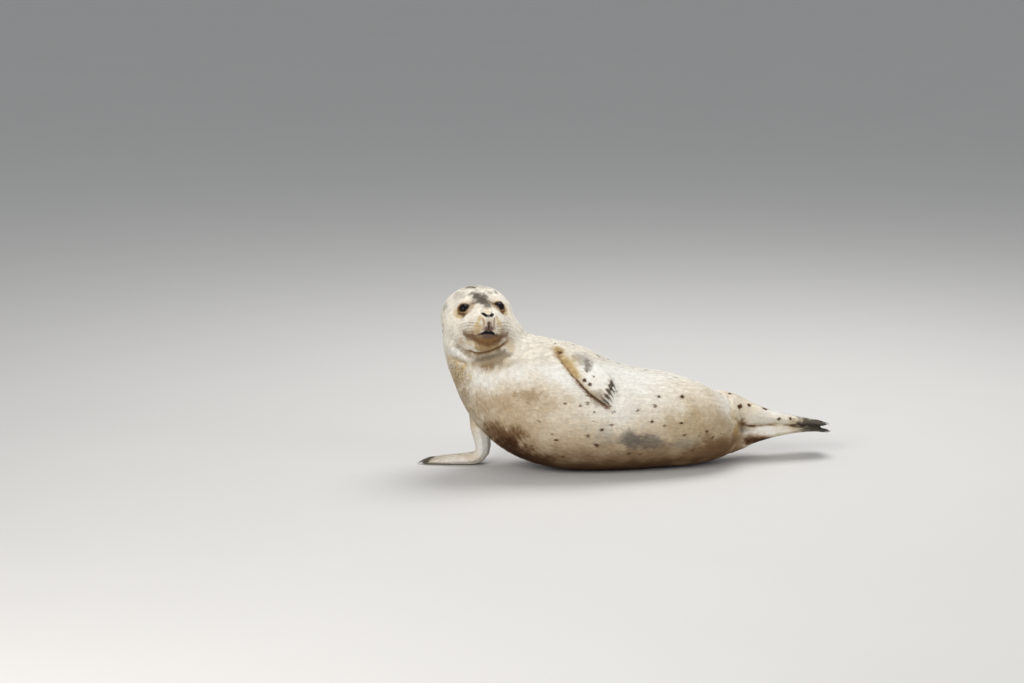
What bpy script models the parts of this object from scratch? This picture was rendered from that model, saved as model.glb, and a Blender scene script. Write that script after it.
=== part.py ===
"""A young harbour seal propped on one fore flipper, life size, as solid pieces.

The seal lies along X with its head at -X and rests on the plane z = 0. Its belly is
turned towards -Y and its left side is uppermost. Torso and head are lofted, joined by a
voxel remesh, smoothed and then parted by thin cuts. Flippers, tail, eyes and claws are
solids of their own that meet the body face to face.
"""

import math

import bmesh
import bpy
from mathutils import Matrix, Vector
from mathutils.bvhtree import BVHTree

MM = 0.001
GAP = 0.3 * MM

# Spine stations from hips to crown: centre x, y, z, half height, half depth (metres).
SPINE = (
    (0.292, 0.100, 0.098, 0.028, 0.030),
    (0.284, 0.098, 0.098, 0.052, 0.046),
    (0.266, 0.088, 0.099, 0.077, 0.068),
    (0.224, 0.066, 0.099, 0.094, 0.096),
    (0.164, 0.038, 0.112, 0.113, 0.118),
    (0.086, 0.020, 0.126, 0.127, 0.134),
    (0.008, 0.004, 0.133, 0.135, 0.143),
    (-0.070, -0.008, 0.144, 0.147, 0.150),
    (-0.148, -0.014, 0.163, 0.163, 0.154),
    (-0.236, -0.016, 0.192, 0.163, 0.150),
    (-0.308, -0.016, 0.243, 0.144, 0.138),
    (-0.356, -0.018, 0.301, 0.114, 0.115),
    (-0.3790, -0.020, 0.358, 0.1055, 0.102),
    (-0.389, -0.020, 0.412, 0.083, 0.086),
    (-0.389, -0.020, 0.440, 0.050, 0.052),
)
RINGS_PER_STATION = 4
TORSO_SIDES = 40

# The head's frame: its place and how far it is turned, raised and tilted.
HEAD_CENTRE = Vector((-0.389, -0.025, 0.4005))
HEAD_YAW = math.radians(15.3)
HEAD_PITCH = math.radians(20)
HEAD_ROLL = math.radians(0.5)
# Rings from nape to nose: forward, half width, top, bottom (mm), and how pear-shaped.
HEAD_RINGS = (
    (-86, 24, 12, -34, 0.00),
    (-76, 52, 45, -62, -0.02),
    (-55, 79, 73, -82, -0.05),
    (-25, 93, 88, -92, -0.08),
    (5, 96, 90, -96, -0.08),
    (28, 91, 82, -97, 0.01),
    (46, 80, 64, -97, 0.10),
    (60, 71, 44, -95, 0.18),
    (73, 63, 30, -90, 0.23),
    (85, 54, 20, -82, 0.23),
    (96, 42, 11, -71, 0.17),
    (106, 29, 4, -58, 0.10),
    (114, 19, -2, -44, 0.04),
    (118, 10, -9, -32, 0.02),
)
HEAD_SIDES = 36
# Rounded masses of the face: centre and radii in the head's frame (mm), left side positive.
FACE_MASSES = (
    ((83, 22, -40), (27, 26, 22)),
    ((83, -22, -40), (27, 26, 22)),
    ((70, 0, -78), (34, 47, 25)),
    ((106, 0, -12), (13, 20, 14)),
    ((38, 38, 36), (18, 20, 16)),
    ((38, -38, 36), (18, 20, 16)),
)

VOXEL = 5 * MM
BODY_TRIANGLES = 2300
HEAD_DETAIL = 4e-6
SMOOTH_ALL = 12
SMOOTH_BODY = 24
BELLY_SINK = 2 * MM

EYE_RADIUS = 16.5 * MM
EYE_AT = Vector((47, 44, 18)) * MM
EYE_SEGMENTS = 16

# Planes that part the body, as point and normal, from the head backwards.
CUTS = (
    ("head", Vector((-0.372, -0.060, 0.312)), Vector((-0.30, -0.24, 0.92))),
    ("neck", Vector((-0.325, -0.016, 0.262)), Vector((-0.66, 0.00, 0.75))),
    ("chest", Vector((-0.050, 0.000, 0.140)), Vector((-1.00, 0.00, 0.06))),
    ("abdomen", Vector((0.190, 0.055, 0.110)), Vector((-0.95, -0.30, 0.05))),
)
HINDMOST = "hips"

# Flipper rows, root to tip: leading edge, trailing edge, thickness at the middle (metres).
FORE_RIGHT = (
    ((-0.374, -0.018, 0.158), (-0.374, 0.066, 0.158), 0.066),
    ((-0.383, -0.012, 0.118), (-0.383, 0.068, 0.118), 0.058),
    ((-0.380, -0.006, 0.078), (-0.377, 0.068, 0.078), 0.045),
    ((-0.3765, -0.002, 0.050), (-0.3730, 0.069, 0.050), 0.040),
    ((-0.3810, 0.001, 0.030), (-0.3770, 0.071, 0.030), 0.036),
    ((-0.3950, 0.004, 0.0180), (-0.3900, 0.074, 0.0180), 0.031),
    ((-0.4150, 0.006, 0.0140), (-0.4100, 0.077, 0.0140), 0.027),
    ((-0.4380, 0.009, 0.0120), (-0.4310, 0.080, 0.0120), 0.0235),
    ((-0.468, 0.012, 0.0100), (-0.456, 0.084, 0.0100), 0.020),
    ((-0.502, 0.016, 0.0080), (-0.484, 0.084, 0.0080), 0.016),
    ((-0.526, 0.021, 0.0060), (-0.503, 0.078, 0.0060), 0.012),
    ((-0.538, 0.030, 0.0040), (-0.516, 0.068, 0.0040), 0.006),
)
# The flipper laid on the flank: leading x, z, trailing x, z, thickness, height off the flank.
FORE_LEFT = (
    (-0.190, 0.322, -0.150, 0.320, 0.024, -0.024),
    (-0.184, 0.316, -0.134, 0.315, 0.024, -0.008),
    (-0.173, 0.303, -0.114, 0.307, 0.022, 0.001),
    (-0.155, 0.280, -0.096, 0.298, 0.019, 0.005),
    (-0.132, 0.255, -0.079, 0.287, 0.0165, 0.0075),
    (-0.108, 0.230, -0.065, 0.275, 0.0150, 0.0090),
    (-0.085, 0.211, -0.053, 0.263, 0.0135, 0.0090),
    (-0.066, 0.199, -0.044, 0.251, 0.0110, 0.0080),
    (-0.058, 0.195, -0.040, 0.242, 0.0060, 0.0075),
)
# Hind flippers: centre x, y, z, half width, thickness, and how far the far edge curls up.
HIND_LEFT = (
    (0.225, 0.076, 0.138, 0.036, 0.100, 0.000),
    (0.258, 0.085, 0.138, 0.038, 0.096, 0.000),
    (0.283, 0.092, 0.133, 0.040, 0.085, 0.000),
    (0.310, 0.100, 0.1240, 0.041, 0.073, 0.000),
    (0.335, 0.108, 0.1175, 0.042, 0.061, 0.000),
    (0.366, 0.118, 0.1115, 0.041, 0.0445, 0.001),
    (0.395, 0.126, 0.1055, 0.042, 0.0345, 0.002),
    (0.425, 0.134, 0.1000, 0.044, 0.0270, 0.003),
    (0.452, 0.141, 0.0950, 0.046, 0.0215, 0.002),
    (0.476, 0.147, 0.0908, 0.047, 0.0185, 0.001),
    (0.498, 0.152, 0.0868, 0.045, 0.0160, 0.001),
    (0.513, 0.156, 0.0840, 0.040, 0.0120, 0.000),
    (0.522, 0.158, 0.0825, 0.030, 0.0070, 0.000),
)
HIND_RIGHT = (
    (0.235, 0.074, 0.0575, 0.036, 0.079, 0.000),
    (0.285, 0.088, 0.0515, 0.040, 0.065, 0.000),
    (0.310, 0.097, 0.0580, 0.040, 0.052, 0.000),
    (0.335, 0.108, 0.0625, 0.040, 0.044, -0.001),
    (0.366, 0.118, 0.067, 0.039, 0.038, -0.002),
    (0.395, 0.126, 0.070, 0.039, 0.031, -0.003),
    (0.425, 0.134, 0.0715, 0.041, 0.024, -0.003),
    (0.452, 0.141, 0.072, 0.043, 0.019, -0.002),
    (0.476, 0.147, 0.0715, 0.044, 0.0155, -0.002),
    (0.500, 0.153, 0.070, 0.043, 0.013, -0.001),
    (0.518, 0.157, 0.067, 0.038, 0.010, 0.000),
    (0.528, 0.159, 0.066, 0.029, 0.006, 0.000),
)
HIND_TURN = math.radians(17)
HIND_TILT = 0.10
FLIPPER_SIDES = 15
DIGITS = (-0.8, -0.4, 0.0, 0.4, 0.8)

# Tail: centre x, y, z, half width across, half thickness.
TAIL = (
    (0.262, 0.128, 0.104, 0.028, 0.022),
    (0.292, 0.146, 0.103, 0.028, 0.019),
    (0.316, 0.160, 0.101, 0.025, 0.014),
    (0.336, 0.170, 0.099, 0.020, 0.010),
    (0.348, 0.176, 0.098, 0.013, 0.007),
    (0.353, 0.178, 0.098, 0.006, 0.004),
)
TAIL_SIDES = 16

CLAW_SIDES = 6
# Claws: length and root radius, then how far the point dips below the flipper's top face.
FORE_CLAW = ((22 * MM, 2.7 * MM), 3.5 * MM)
FLANK_CLAW = ((22 * MM, 2.7 * MM), 0.5 * MM)
HIND_CLAW = ((14 * MM, 1.9 * MM), 2.5 * MM)

COAT = (0.78, 0.73, 0.63)
COLOURS = {
    "pelt": (COAT, 0.85),
    "flipper": ((0.60, 0.56, 0.49), 0.8),
    "eye": ((0.012, 0.010, 0.012), 0.08),
    "claw": ((0.045, 0.035, 0.028), 0.4),
}


def head_axes():
    """The head's forward, left and up directions."""
    forward = Vector((
        math.sin(HEAD_YAW) * math.cos(HEAD_PITCH),
        -math.cos(HEAD_YAW) * math.cos(HEAD_PITCH),
        math.sin(HEAD_PITCH),
    ))
    level = Vector((math.cos(HEAD_YAW), math.sin(HEAD_YAW), 0))
    upright = forward.cross(level)
    left = level * math.cos(HEAD_ROLL) + upright * math.sin(HEAD_ROLL)
    up = upright * math.cos(HEAD_ROLL) - level * math.sin(HEAD_ROLL)
    return forward, left, up


HEAD_FRAME = Matrix(head_axes()).transposed().to_4x4()
HEAD_FRAME.translation = HEAD_CENTRE


def curve(rows, t):
    """A row of numbers read from a smooth curve through the rows, 0 <= t <= len(rows) - 1."""
    i = min(int(t), len(rows) - 2)
    u = t - i
    near = [rows[max(0, min(len(rows) - 1, i + k))] for k in (-1, 0, 1, 2)]
    return [
        0.5 * (2 * q + (r - p) * u + (2 * p - 5 * q + 4 * r - s) * u ** 2 + (3 * q - p - 3 * r + s) * u ** 3)
        for p, q, r, s in zip(*near)
    ]


def clear_scene():
    for old in list(bpy.data.objects):
        bpy.data.objects.remove(old)


def loft(rings):
    """A closed bmesh bridged through rings of points, all with the same number of points."""
    bm = bmesh.new()
    loops = []
    for ring in rings:
        verts = bmesh.ops.create_circle(bm, segments=len(ring), radius=1)["verts"]
        for vert, point in zip(verts, ring):
            vert.co = point
        loops.append(list({edge for vert in verts for edge in vert.link_edges}))
    for first, second in zip(loops, loops[1:]):
        bmesh.ops.bridge_loops(bm, edges=first + second)
    for end in (loops[0], loops[-1]):
        bmesh.ops.contextual_create(bm, geom=end)
    bmesh.ops.recalc_face_normals(bm, faces=bm.faces)
    return bm


def as_object(bm, name):
    mesh = bpy.data.meshes.new(name)
    bm.to_mesh(mesh)
    bm.free()
    obj = bpy.data.objects.new(name, mesh)
    bpy.context.scene.collection.objects.link(obj)
    return obj


def applied(obj, kind, **settings):
    """Adds a modifier and bakes it into the object's mesh."""
    modifier = obj.modifiers.new(kind.title(), kind)
    for key, value in settings.items():
        setattr(modifier, key, value)
    graph = bpy.context.evaluated_depsgraph_get()
    mesh = bpy.data.meshes.new_from_object(obj.evaluated_get(graph))
    obj.modifiers.clear()
    obj.data = mesh
    return obj


def copied(obj, name):
    twin = bpy.data.objects.new(name, obj.data.copy())
    bpy.context.scene.collection.objects.link(twin)
    return twin


def joined(first, *others):
    """One object that holds the meshes of several."""
    bm = bmesh.new()
    for obj in (first, *others):
        bm.from_mesh(obj.data)
    bm.to_mesh(first.data)
    bm.free()
    for obj in others:
        bpy.data.objects.remove(obj)
    return first


def swollen(obj, by=GAP):
    """A copy of an object, grown outwards by a small distance."""
    return applied(copied(obj, "swollen"), "DISPLACE", strength=by, mid_level=0)


def cut_away(obj, *cutters):
    for cutter in cutters:
        applied(obj, "BOOLEAN", operation="DIFFERENCE", solver="EXACT", object=cutter)
        bpy.data.objects.remove(cutter)
    return obj


def torso_rings():
    for i in range((len(SPINE) - 1) * RINGS_PER_STATION + 1):
        t = i / RINGS_PER_STATION
        x, y, z, high, deep = curve(SPINE, t)
        before = Vector(curve(SPINE, max(0, t - 0.3))[:3])
        after = Vector(curve(SPINE, min(len(SPINE) - 1, t + 0.3))[:3])
        along = (after - before).normalized()
        depth = (Vector((0, 1, 0)) - along * along.y).normalized()
        height = depth.cross(along)
        angles = (math.tau * k / TORSO_SIDES for k in range(TORSO_SIDES))
        yield [Vector((x, y, z)) + height * high * math.cos(a) + depth * deep * math.sin(a) for a in angles]


def head_rings():
    for i in range((len(HEAD_RINGS) - 1) * 2 + 1):
        f, wide, top, bottom, pear = curve(HEAD_RINGS, i / 2)
        middle, half = (top + bottom) / 2, (top - bottom) / 2
        ring = []
        for k in range(HEAD_SIDES):
            a = math.tau * k / HEAD_SIDES
            side = wide * math.sin(a) * (1 - pear * math.cos(a))
            ring.append(HEAD_FRAME @ (Vector((f, side, middle + half * math.cos(a))) * MM))
        yield ring


def face_mass(centre, radii):
    """A rounded mass in the head's frame."""
    bm = bmesh.new()
    stretch = Matrix.Diagonal((*[r * MM for r in radii], 1))
    place = HEAD_FRAME @ Matrix.Translation(Vector(centre) * MM) @ stretch
    bmesh.ops.create_icosphere(bm, subdivisions=3, radius=1, matrix=place)
    return as_object(bm, "mass")


def smooth(bm, times, weight):
    """Relaxes the vertices whose weight is above a rising threshold, so edges of regions fade."""
    verts = list(bm.verts)
    weights = [weight(v.co) for v in verts]
    for i in range(times):
        level = i / times
        bmesh.ops.smooth_vert(bm, verts=[v for v, w in zip(verts, weights) if w > level], factor=0.5,
                              use_axis_x=True, use_axis_y=True, use_axis_z=True)


def away_from_face(point):
    """0 on the face, 1 on the body behind and below it."""
    f, _, up = HEAD_FRAME.inverted() @ point
    return min(1, max(0, (0.010 - f) / 0.05, (-0.080 - up) / 0.02))


def make_body():
    """Torso and head as one smooth closed skin, with the belly flat where it rests."""
    masses = [face_mass(*row) for row in FACE_MASSES]
    trunk = as_object(loft(list(torso_rings())), "body")
    body = joined(trunk, as_object(loft(list(head_rings())), "skull"), *masses)
    applied(body, "REMESH", mode="VOXEL", voxel_size=VOXEL)
    bm = bmesh.new()
    bm.from_mesh(body.data)
    smooth(bm, SMOOTH_ALL, lambda p: 1.01)
    smooth(bm, SMOOTH_BODY, away_from_face)
    bm.to_mesh(body.data)
    bm.free()
    group = body.vertex_groups.new(name="simplify")
    for vert in body.data.vertices:
        group.add([vert.index], 0.5 + 0.5 * away_from_face(vert.co), "REPLACE")
    faces = sum(len(p.vertices) - 2 for p in body.data.polygons)
    applied(
        body, "DECIMATE", ratio=BODY_TRIANGLES / faces, vertex_group="simplify", vertex_group_factor=HEAD_DETAIL
    )
    body.vertex_groups.clear()
    return body


def flattened(obj, drop=0.0):
    """Lowers a piece by drop and cuts off what lies below z = 0."""
    bm = bmesh.new()
    bm.from_mesh(obj.data)
    bmesh.ops.translate(bm, verts=bm.verts, vec=(0, 0, -drop))
    keep_side(bm, Vector((0, 0, 0)), Vector((0, 0, 1)))
    bm.to_mesh(obj.data)
    bm.free()
    return obj


def keep_side(bm, point, normal):
    """Keeps what lies on the normal's side of a plane and closes the cut."""
    geom = bm.verts[:] + bm.edges[:] + bm.faces[:]
    cut = bmesh.ops.bisect_plane(bm, geom=geom, plane_co=point, plane_no=normal, clear_inner=True, dist=1e-6)
    edges = [e for e in cut["geom_cut"] if isinstance(e, bmesh.types.BMEdge)]
    if edges:
        bmesh.ops.contextual_create(bm, geom=edges)


def part_body(body):
    """Parts the body at the planes and leaves a thin gap at each."""
    pieces = {}
    edges = [None] + [(point, normal.normalized()) for _, point, normal in CUTS] + [None]
    for name, front, back in zip([c[0] for c in CUTS] + [HINDMOST], edges, edges[1:]):
        bm = bmesh.new()
        bm.from_mesh(body.data)
        if front:
            keep_side(bm, front[0] - front[1] * GAP / 2, -front[1])
        if back:
            keep_side(bm, back[0] + back[1] * GAP / 2, back[1])
        bmesh.ops.recalc_face_normals(bm, faces=bm.faces)
        pieces[name] = as_object(bm, name)
    bpy.data.objects.remove(body)
    return pieces


class Flipper:
    """A flattened blade between a leading and a trailing edge, with five digits at its end.

    face is 1 or -1 and says which side is the back of the flipper, where the claws lie.
    """

    def __init__(self, rows, face, fork, scallop):
        self.rows = [(*lead, *trail, thick, curl) for lead, trail, thick, curl in rows]
        self.face = face
        self.fork = fork
        self.scallop = scallop
        self.last = len(rows) - 1

    def frame(self, t):
        """Middle, half width, normal, along direction, half thickness and curl at t."""
        row = curve(self.rows, t)
        a, b = curve(self.rows, max(0, t - 0.5)), curve(self.rows, min(self.last, t + 0.5))
        lead, trail = Vector(row[:3]), Vector(row[3:6])
        along = (Vector(b[:3]) + Vector(b[3:6]) - Vector(a[:3]) - Vector(a[3:6])).normalized()
        half = (trail - lead) / 2
        normal = half.cross(along).normalized() * self.face
        return (lead + trail) / 2, half, normal, along, row[6] / 2, row[7] * self.face

    def point(self, t, u, side):
        """A point of the surface: u runs -1 to 1 across, side is 1 on top and -1 beneath."""
        middle, half, normal, along, thick, curl = self.frame(t)
        digit = max(0.0, t / self.last - 0.45) / 0.55
        ridge = 1 + 0.20 * digit * math.cos(5 * math.pi * u) * (side > 0)
        square = 2 + 0.6 * min(1, 2 * t / self.last)
        rise = thick * (1 - abs(u) ** square) ** 0.5 * ridge
        end = max(0.0, t / self.last - 0.6) / 0.4
        reach = end * (self.fork * u * u + self.scallop * math.cos(5 * math.pi * u))
        return middle + half * u + normal * (side * rise + curl * max(0, u) ** 2) + along * reach

    def build(self, name, rings):
        shape = []
        for i in range(rings + 1):
            t = self.last * i / rings
            across = [-1 + 2 * k / FLIPPER_SIDES for k in range(FLIPPER_SIDES + 1)]
            top = [self.point(t, u, 1) for u in across]
            under = [self.point(t, u, -1) for u in across[-2:0:-2]]
            shape.append(top + under)
        return as_object(loft(shape), name)

    def claw(self, name, u, size, dip):
        """A curved claw that lies on the end of one digit and reaches past it."""
        length, radius = size
        normal, along = self.frame(self.last - 0.5)[2:4]
        across = normal.cross(along).normalized()
        tip = self.point(self.last, u, 1)
        heel = self.point(self.last - 1.3, u, 1) - normal * radius * 0.7
        knuckle = tip + normal * radius * 2.2 - along * length * 0.1
        end = tip + along * length * 0.42 - normal * dip
        shape = []
        for i in range(6):
            s = i / 5
            centre = heel * (1 - s) ** 2 + knuckle * 2 * s * (1 - s) + end * s * s
            tangent = ((knuckle - heel) * (1 - s) + (end - knuckle) * s).normalized()
            upward = tangent.cross(across).normalized()
            r = radius * (1 - 0.8 * s ** 1.6)
            angles = (math.tau * k / CLAW_SIDES for k in range(CLAW_SIDES))
            shape.append([centre + across * r * math.cos(a) + upward * r * 0.9 * math.sin(a) for a in angles])
        return as_object(loft(shape), name)


def flank_rows(rows, body):
    """Flipper rows laid along the flank: each point is found on the side that faces -Y."""
    bm = bmesh.new()
    bm.from_mesh(body.data)
    tree = BVHTree.FromBMesh(bm)
    bm.free()
    found = []
    for lead_x, lead_z, trail_x, trail_z, thick, lift in rows:
        ends = [tree.ray_cast(Vector((x, -1, z)), Vector((0, 1, 0))) for x, z in
                ((lead_x, lead_z), (trail_x, trail_z))]
        normal = (ends[0][1] + ends[1][1]).normalized()
        found.append((ends[0][0] + normal * lift, ends[1][0] + normal * lift, thick, 0.0))
    return found


def hind_rows(rows):
    across = Vector((-math.sin(HIND_TURN), math.cos(HIND_TURN), -HIND_TILT)).normalized()
    return [
        (Vector((x, y, z)) - across * wide, Vector((x, y, z)) + across * wide, thick, curl)
        for x, y, z, wide, thick, curl in rows
    ]


def make_tail():
    rings = []
    for i in range(9):
        t = (len(TAIL) - 1) * i / 8
        x, y, z, wide, thick = curve(TAIL, t)
        before, after = curve(TAIL, max(0, t - 0.5)), curve(TAIL, min(len(TAIL) - 1, t + 0.5))
        along = (Vector(after[:3]) - Vector(before[:3])).normalized()
        across = Vector((0, 0, 1)).lerp(Vector((0, 1, 0)), 0.2)
        across = (across - along * across.dot(along)).normalized()
        normal = across.cross(along)
        angles = (math.tau * k / TAIL_SIDES for k in range(TAIL_SIDES))
        middle = Vector((x, y, z))
        rings.append(
            [middle + across * wide * math.cos(a) + normal * thick * math.sin(a) for a in angles]
        )
    return as_object(loft(rings), "tail")


def make_eye(name, side, radius=EYE_RADIUS):
    bm = bmesh.new()
    place = HEAD_FRAME @ Matrix.Translation((EYE_AT.x, side * EYE_AT.y, EYE_AT.z))
    turned = place @ Matrix.Rotation(math.radians(90), 4, "Y")
    bmesh.ops.create_uvsphere(bm, u_segments=EYE_SEGMENTS, v_segments=10, radius=radius, matrix=turned)
    return as_object(bm, name)


def material(name):
    found = bpy.data.materials.get(name)
    if found is None:
        colour, rough = COLOURS[name]
        found = bpy.data.materials.new(name)
        found.use_nodes = True
        shader = found.node_tree.nodes["Principled BSDF"]
        shader.inputs["Base Color"].default_value = (*colour, 1)
        shader.inputs["Roughness"].default_value = rough
        shader.inputs["Metallic"].default_value = 0
        found.diffuse_color = (*colour, 1)
    return found


def finish(obj, look, root):
    """Gives a piece its material, smooth shading, its origin at its middle and its parent."""
    mesh = obj.data
    mesh.materials.clear()
    mesh.materials.append(material(look))
    mesh.shade_smooth()
    mesh.set_sharp_from_angle(angle=math.radians(50))
    points = [v.co for v in mesh.vertices]
    low = Vector(min(p[i] for p in points) for i in range(3))
    high = Vector(max(p[i] for p in points) for i in range(3))
    middle = (low + high) / 2
    mesh.transform(Matrix.Translation(-middle))
    obj.location = middle
    obj.parent = root


def main():
    clear_scene()
    body = make_body()
    flattened(body, BELLY_SINK)

    flippers = {
        "fore_flipper_right": (Flipper([(*row, 0.0) for row in FORE_RIGHT], 1, 0.0, 0.0025), 15, *FORE_CLAW),
        "fore_flipper_left": (Flipper(flank_rows(FORE_LEFT, body), -1, 0.0, 0.0025), 13, *FLANK_CLAW),
        "hind_flipper_left": (Flipper(hind_rows(HIND_LEFT), -1, 0.012, 0.002), 13, *HIND_CLAW),
        "hind_flipper_right": (Flipper(hind_rows(HIND_RIGHT), 1, 0.012, 0.002), 13, *HIND_CLAW),
    }
    pieces = {}
    for name, (flipper, rings, claw_size, dip) in flippers.items():
        blade = flipper.build(name, rings)
        if name == "fore_flipper_right":
            flattened(blade)
        pieces[name] = (cut_away(blade, swollen(body)), "flipper")
        for number, u in enumerate(DIGITS, 1):
            claw = flipper.claw(f"{name}_claw_{number}", u, claw_size, dip)
            pieces[claw.name] = (cut_away(claw, swollen(blade, 2 * GAP)), "claw")
    hind = [swollen(pieces[name][0], 2 * GAP) for name in ("hind_flipper_left", "hind_flipper_right")]
    pieces["tail"] = (cut_away(make_tail(), swollen(body), *hind), "pelt")
    for side, name in ((1, "eye_left"), (-1, "eye_right")):
        cut_away(body, make_eye("socket", side, EYE_RADIUS + GAP))
        pieces[name] = (make_eye(name, side), "eye")
    for name, piece in part_body(body).items():
        pieces[name] = (piece, "pelt")

    corners = [v.co for piece, _ in pieces.values() for v in piece.data.vertices]
    offset = Vector((
        (min(c.x for c in corners) + max(c.x for c in corners)) / 2,
        (min(c.y for c in corners) + max(c.y for c in corners)) / 2,
        min(c.z for c in corners),
    ))
    root = bpy.data.objects.new("seal", None)
    root.location = -offset
    bpy.context.scene.collection.objects.link(root)
    for piece, look in pieces.values():
        finish(piece, look, root)


main()
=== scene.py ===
"""A young harbour seal lying on its side: its skin, coat, eyes, whiskers, claws and studio."""

import math

import bmesh
import bpy
import numpy as np
from mathutils import Matrix, Vector
from mathutils.bvhtree import BVHTree


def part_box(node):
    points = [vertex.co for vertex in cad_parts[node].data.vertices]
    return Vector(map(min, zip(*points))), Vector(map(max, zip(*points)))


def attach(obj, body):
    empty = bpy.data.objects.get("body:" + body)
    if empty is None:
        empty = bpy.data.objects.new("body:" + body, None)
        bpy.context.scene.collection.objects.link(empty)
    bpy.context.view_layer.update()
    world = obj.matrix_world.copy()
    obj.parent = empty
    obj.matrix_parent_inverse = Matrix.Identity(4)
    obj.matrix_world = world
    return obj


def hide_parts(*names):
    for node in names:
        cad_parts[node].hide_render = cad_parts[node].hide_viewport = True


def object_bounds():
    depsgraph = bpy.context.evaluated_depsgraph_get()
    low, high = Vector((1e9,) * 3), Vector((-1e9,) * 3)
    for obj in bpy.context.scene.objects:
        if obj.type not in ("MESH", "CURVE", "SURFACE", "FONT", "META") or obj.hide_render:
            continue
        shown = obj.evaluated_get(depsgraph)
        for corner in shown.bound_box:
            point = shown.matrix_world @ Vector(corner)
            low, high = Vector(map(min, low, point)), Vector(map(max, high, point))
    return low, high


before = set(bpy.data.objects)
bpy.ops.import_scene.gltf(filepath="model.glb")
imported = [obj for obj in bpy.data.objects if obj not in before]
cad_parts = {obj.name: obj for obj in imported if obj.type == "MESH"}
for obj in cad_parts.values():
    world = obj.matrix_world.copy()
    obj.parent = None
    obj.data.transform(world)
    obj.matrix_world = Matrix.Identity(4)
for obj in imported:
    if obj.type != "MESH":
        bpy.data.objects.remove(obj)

CAD_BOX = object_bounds()
MM = 0.001
BODY = "root"

TORSO = ("neck", "chest", "abdomen", "hips")
FLIPPERS = ("fore_flipper_left", "fore_flipper_right", "hind_flipper_left", "hind_flipper_right")
FLESH = ("head", *TORSO, "tail", *FLIPPERS)
EYES = ("eye_left", "eye_right")
CLAWS = [f"{flipper}_claw_{number}" for flipper in FLIPPERS for number in range(1, 6)]

# ---- the head's own frame
# Places on the head are forward, left and up in millimetres from HEAD_CENTRE.
HEAD_PITCH = math.radians(20)
EYE_PLACE = Vector((47, 44, 18)) * MM
EYE_RADIUS = 16.5 * MM


def middle(node):
    low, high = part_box(node)
    return (low + high) / 2


# 1 is the left side and -1 the right
EYE_CENTRES = {side: middle(node) for side, node in zip((1, -1), EYES)}
LEFT = (EYE_CENTRES[1] - EYE_CENTRES[-1]).normalized()
LEVEL = LEFT.cross(Vector((0, 0, 1))).normalized()
FORWARD = LEVEL * math.cos(HEAD_PITCH) + Vector((0, 0, 1)) * math.sin(HEAD_PITCH)
FORWARD = (FORWARD - LEFT * FORWARD.dot(LEFT)).normalized()
UP = FORWARD.cross(LEFT)
HEAD_CENTRE = (EYE_CENTRES[1] + EYE_CENTRES[-1]) / 2 - FORWARD * EYE_PLACE.x - UP * EYE_PLACE.z
HEAD_AXES = np.array((FORWARD, LEFT, UP))


def on_head(points):
    """Points of the row as head places in millimetres."""
    return (points - np.array(HEAD_CENTRE)) @ HEAD_AXES.T / MM


def from_head(places):
    """Head places in millimetres as points of the row."""
    return np.asarray(places, float) * MM @ HEAD_AXES + np.array(HEAD_CENTRE)


EYE_SPOTS = {side: on_head(np.array(centre)) for side, centre in EYE_CENTRES.items()}


# ---- mesh helpers
def link(obj):
    bpy.context.scene.collection.objects.link(obj)
    return obj


def made(bm, name):
    """An object that holds a bmesh."""
    mesh = bpy.data.meshes.new(name)
    bm.to_mesh(mesh)
    bm.free()
    return link(bpy.data.objects.new(name, mesh))


def applied(obj, kind, **settings):
    """Adds a modifier and bakes it into the object's mesh."""
    modifier = obj.modifiers.new(kind.title(), kind)
    for key, value in settings.items():
        setattr(modifier, key, value)
    graph = bpy.context.evaluated_depsgraph_get()
    mesh = bpy.data.meshes.new_from_object(obj.evaluated_get(graph))
    obj.modifiers.clear()
    obj.data = mesh
    return obj


def read(items, key, width, kind=float):
    """The values of each item of a mesh, one row each."""
    out = np.empty(len(items) * width, kind)
    items.foreach_get(key, out)
    return out.reshape(-1, width)


def points_of(mesh):
    return read(mesh.vertices, "co", 3)


def normals_of(mesh):
    return read(mesh.vertex_normals, "vector", 3)


def edges_of(mesh):
    return read(mesh.edges, "vertices", 2, np.int32)


def move_points(mesh, points):
    mesh.vertices.foreach_set("co", points.ravel())
    mesh.update()


def ramp(value, low, high):
    """0 below low, 1 above high and a smooth rise between them; low may be above high."""
    t = np.clip((value - low) / (high - low), 0, 1)
    return t * t * (3 - 2 * t)


def bell(distance, width):
    return np.exp(-((distance / width) ** 2))


def unit(vectors):
    return vectors / np.maximum(np.linalg.norm(vectors, axis=-1, keepdims=True), 1e-12)


def flattened(vectors, normals):
    """Directions turned to lie along the surface."""
    return unit(vectors - normals * (vectors * normals).sum(axis=1, keepdims=True))


def faded(along):
    """1 along the middle of a line, down to 0 at its two ends."""
    return ramp(along, -0.1, 0.2) * ramp(along, 1.1, 0.8)


def along_line(points, line):
    """Distance to a line through points, the place along it from 0 to 1, and its direction there."""
    line = np.asarray(line, float)
    best = np.full(len(points), np.inf)
    place = np.zeros(len(points))
    heading = np.zeros((len(points), line.shape[1]))
    for i, (a, b) in enumerate(zip(line, line[1:])):
        run = b - a
        t = np.clip((points - a) @ run / (run @ run), 0, 1)
        away = np.linalg.norm(points - a - t[:, None] * run, axis=1)
        near = away < best
        best[near] = away[near]
        place[near] = (i + t[near]) / (len(line) - 1)
        heading[near] = run / np.linalg.norm(run)
    return best, place, heading


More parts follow.
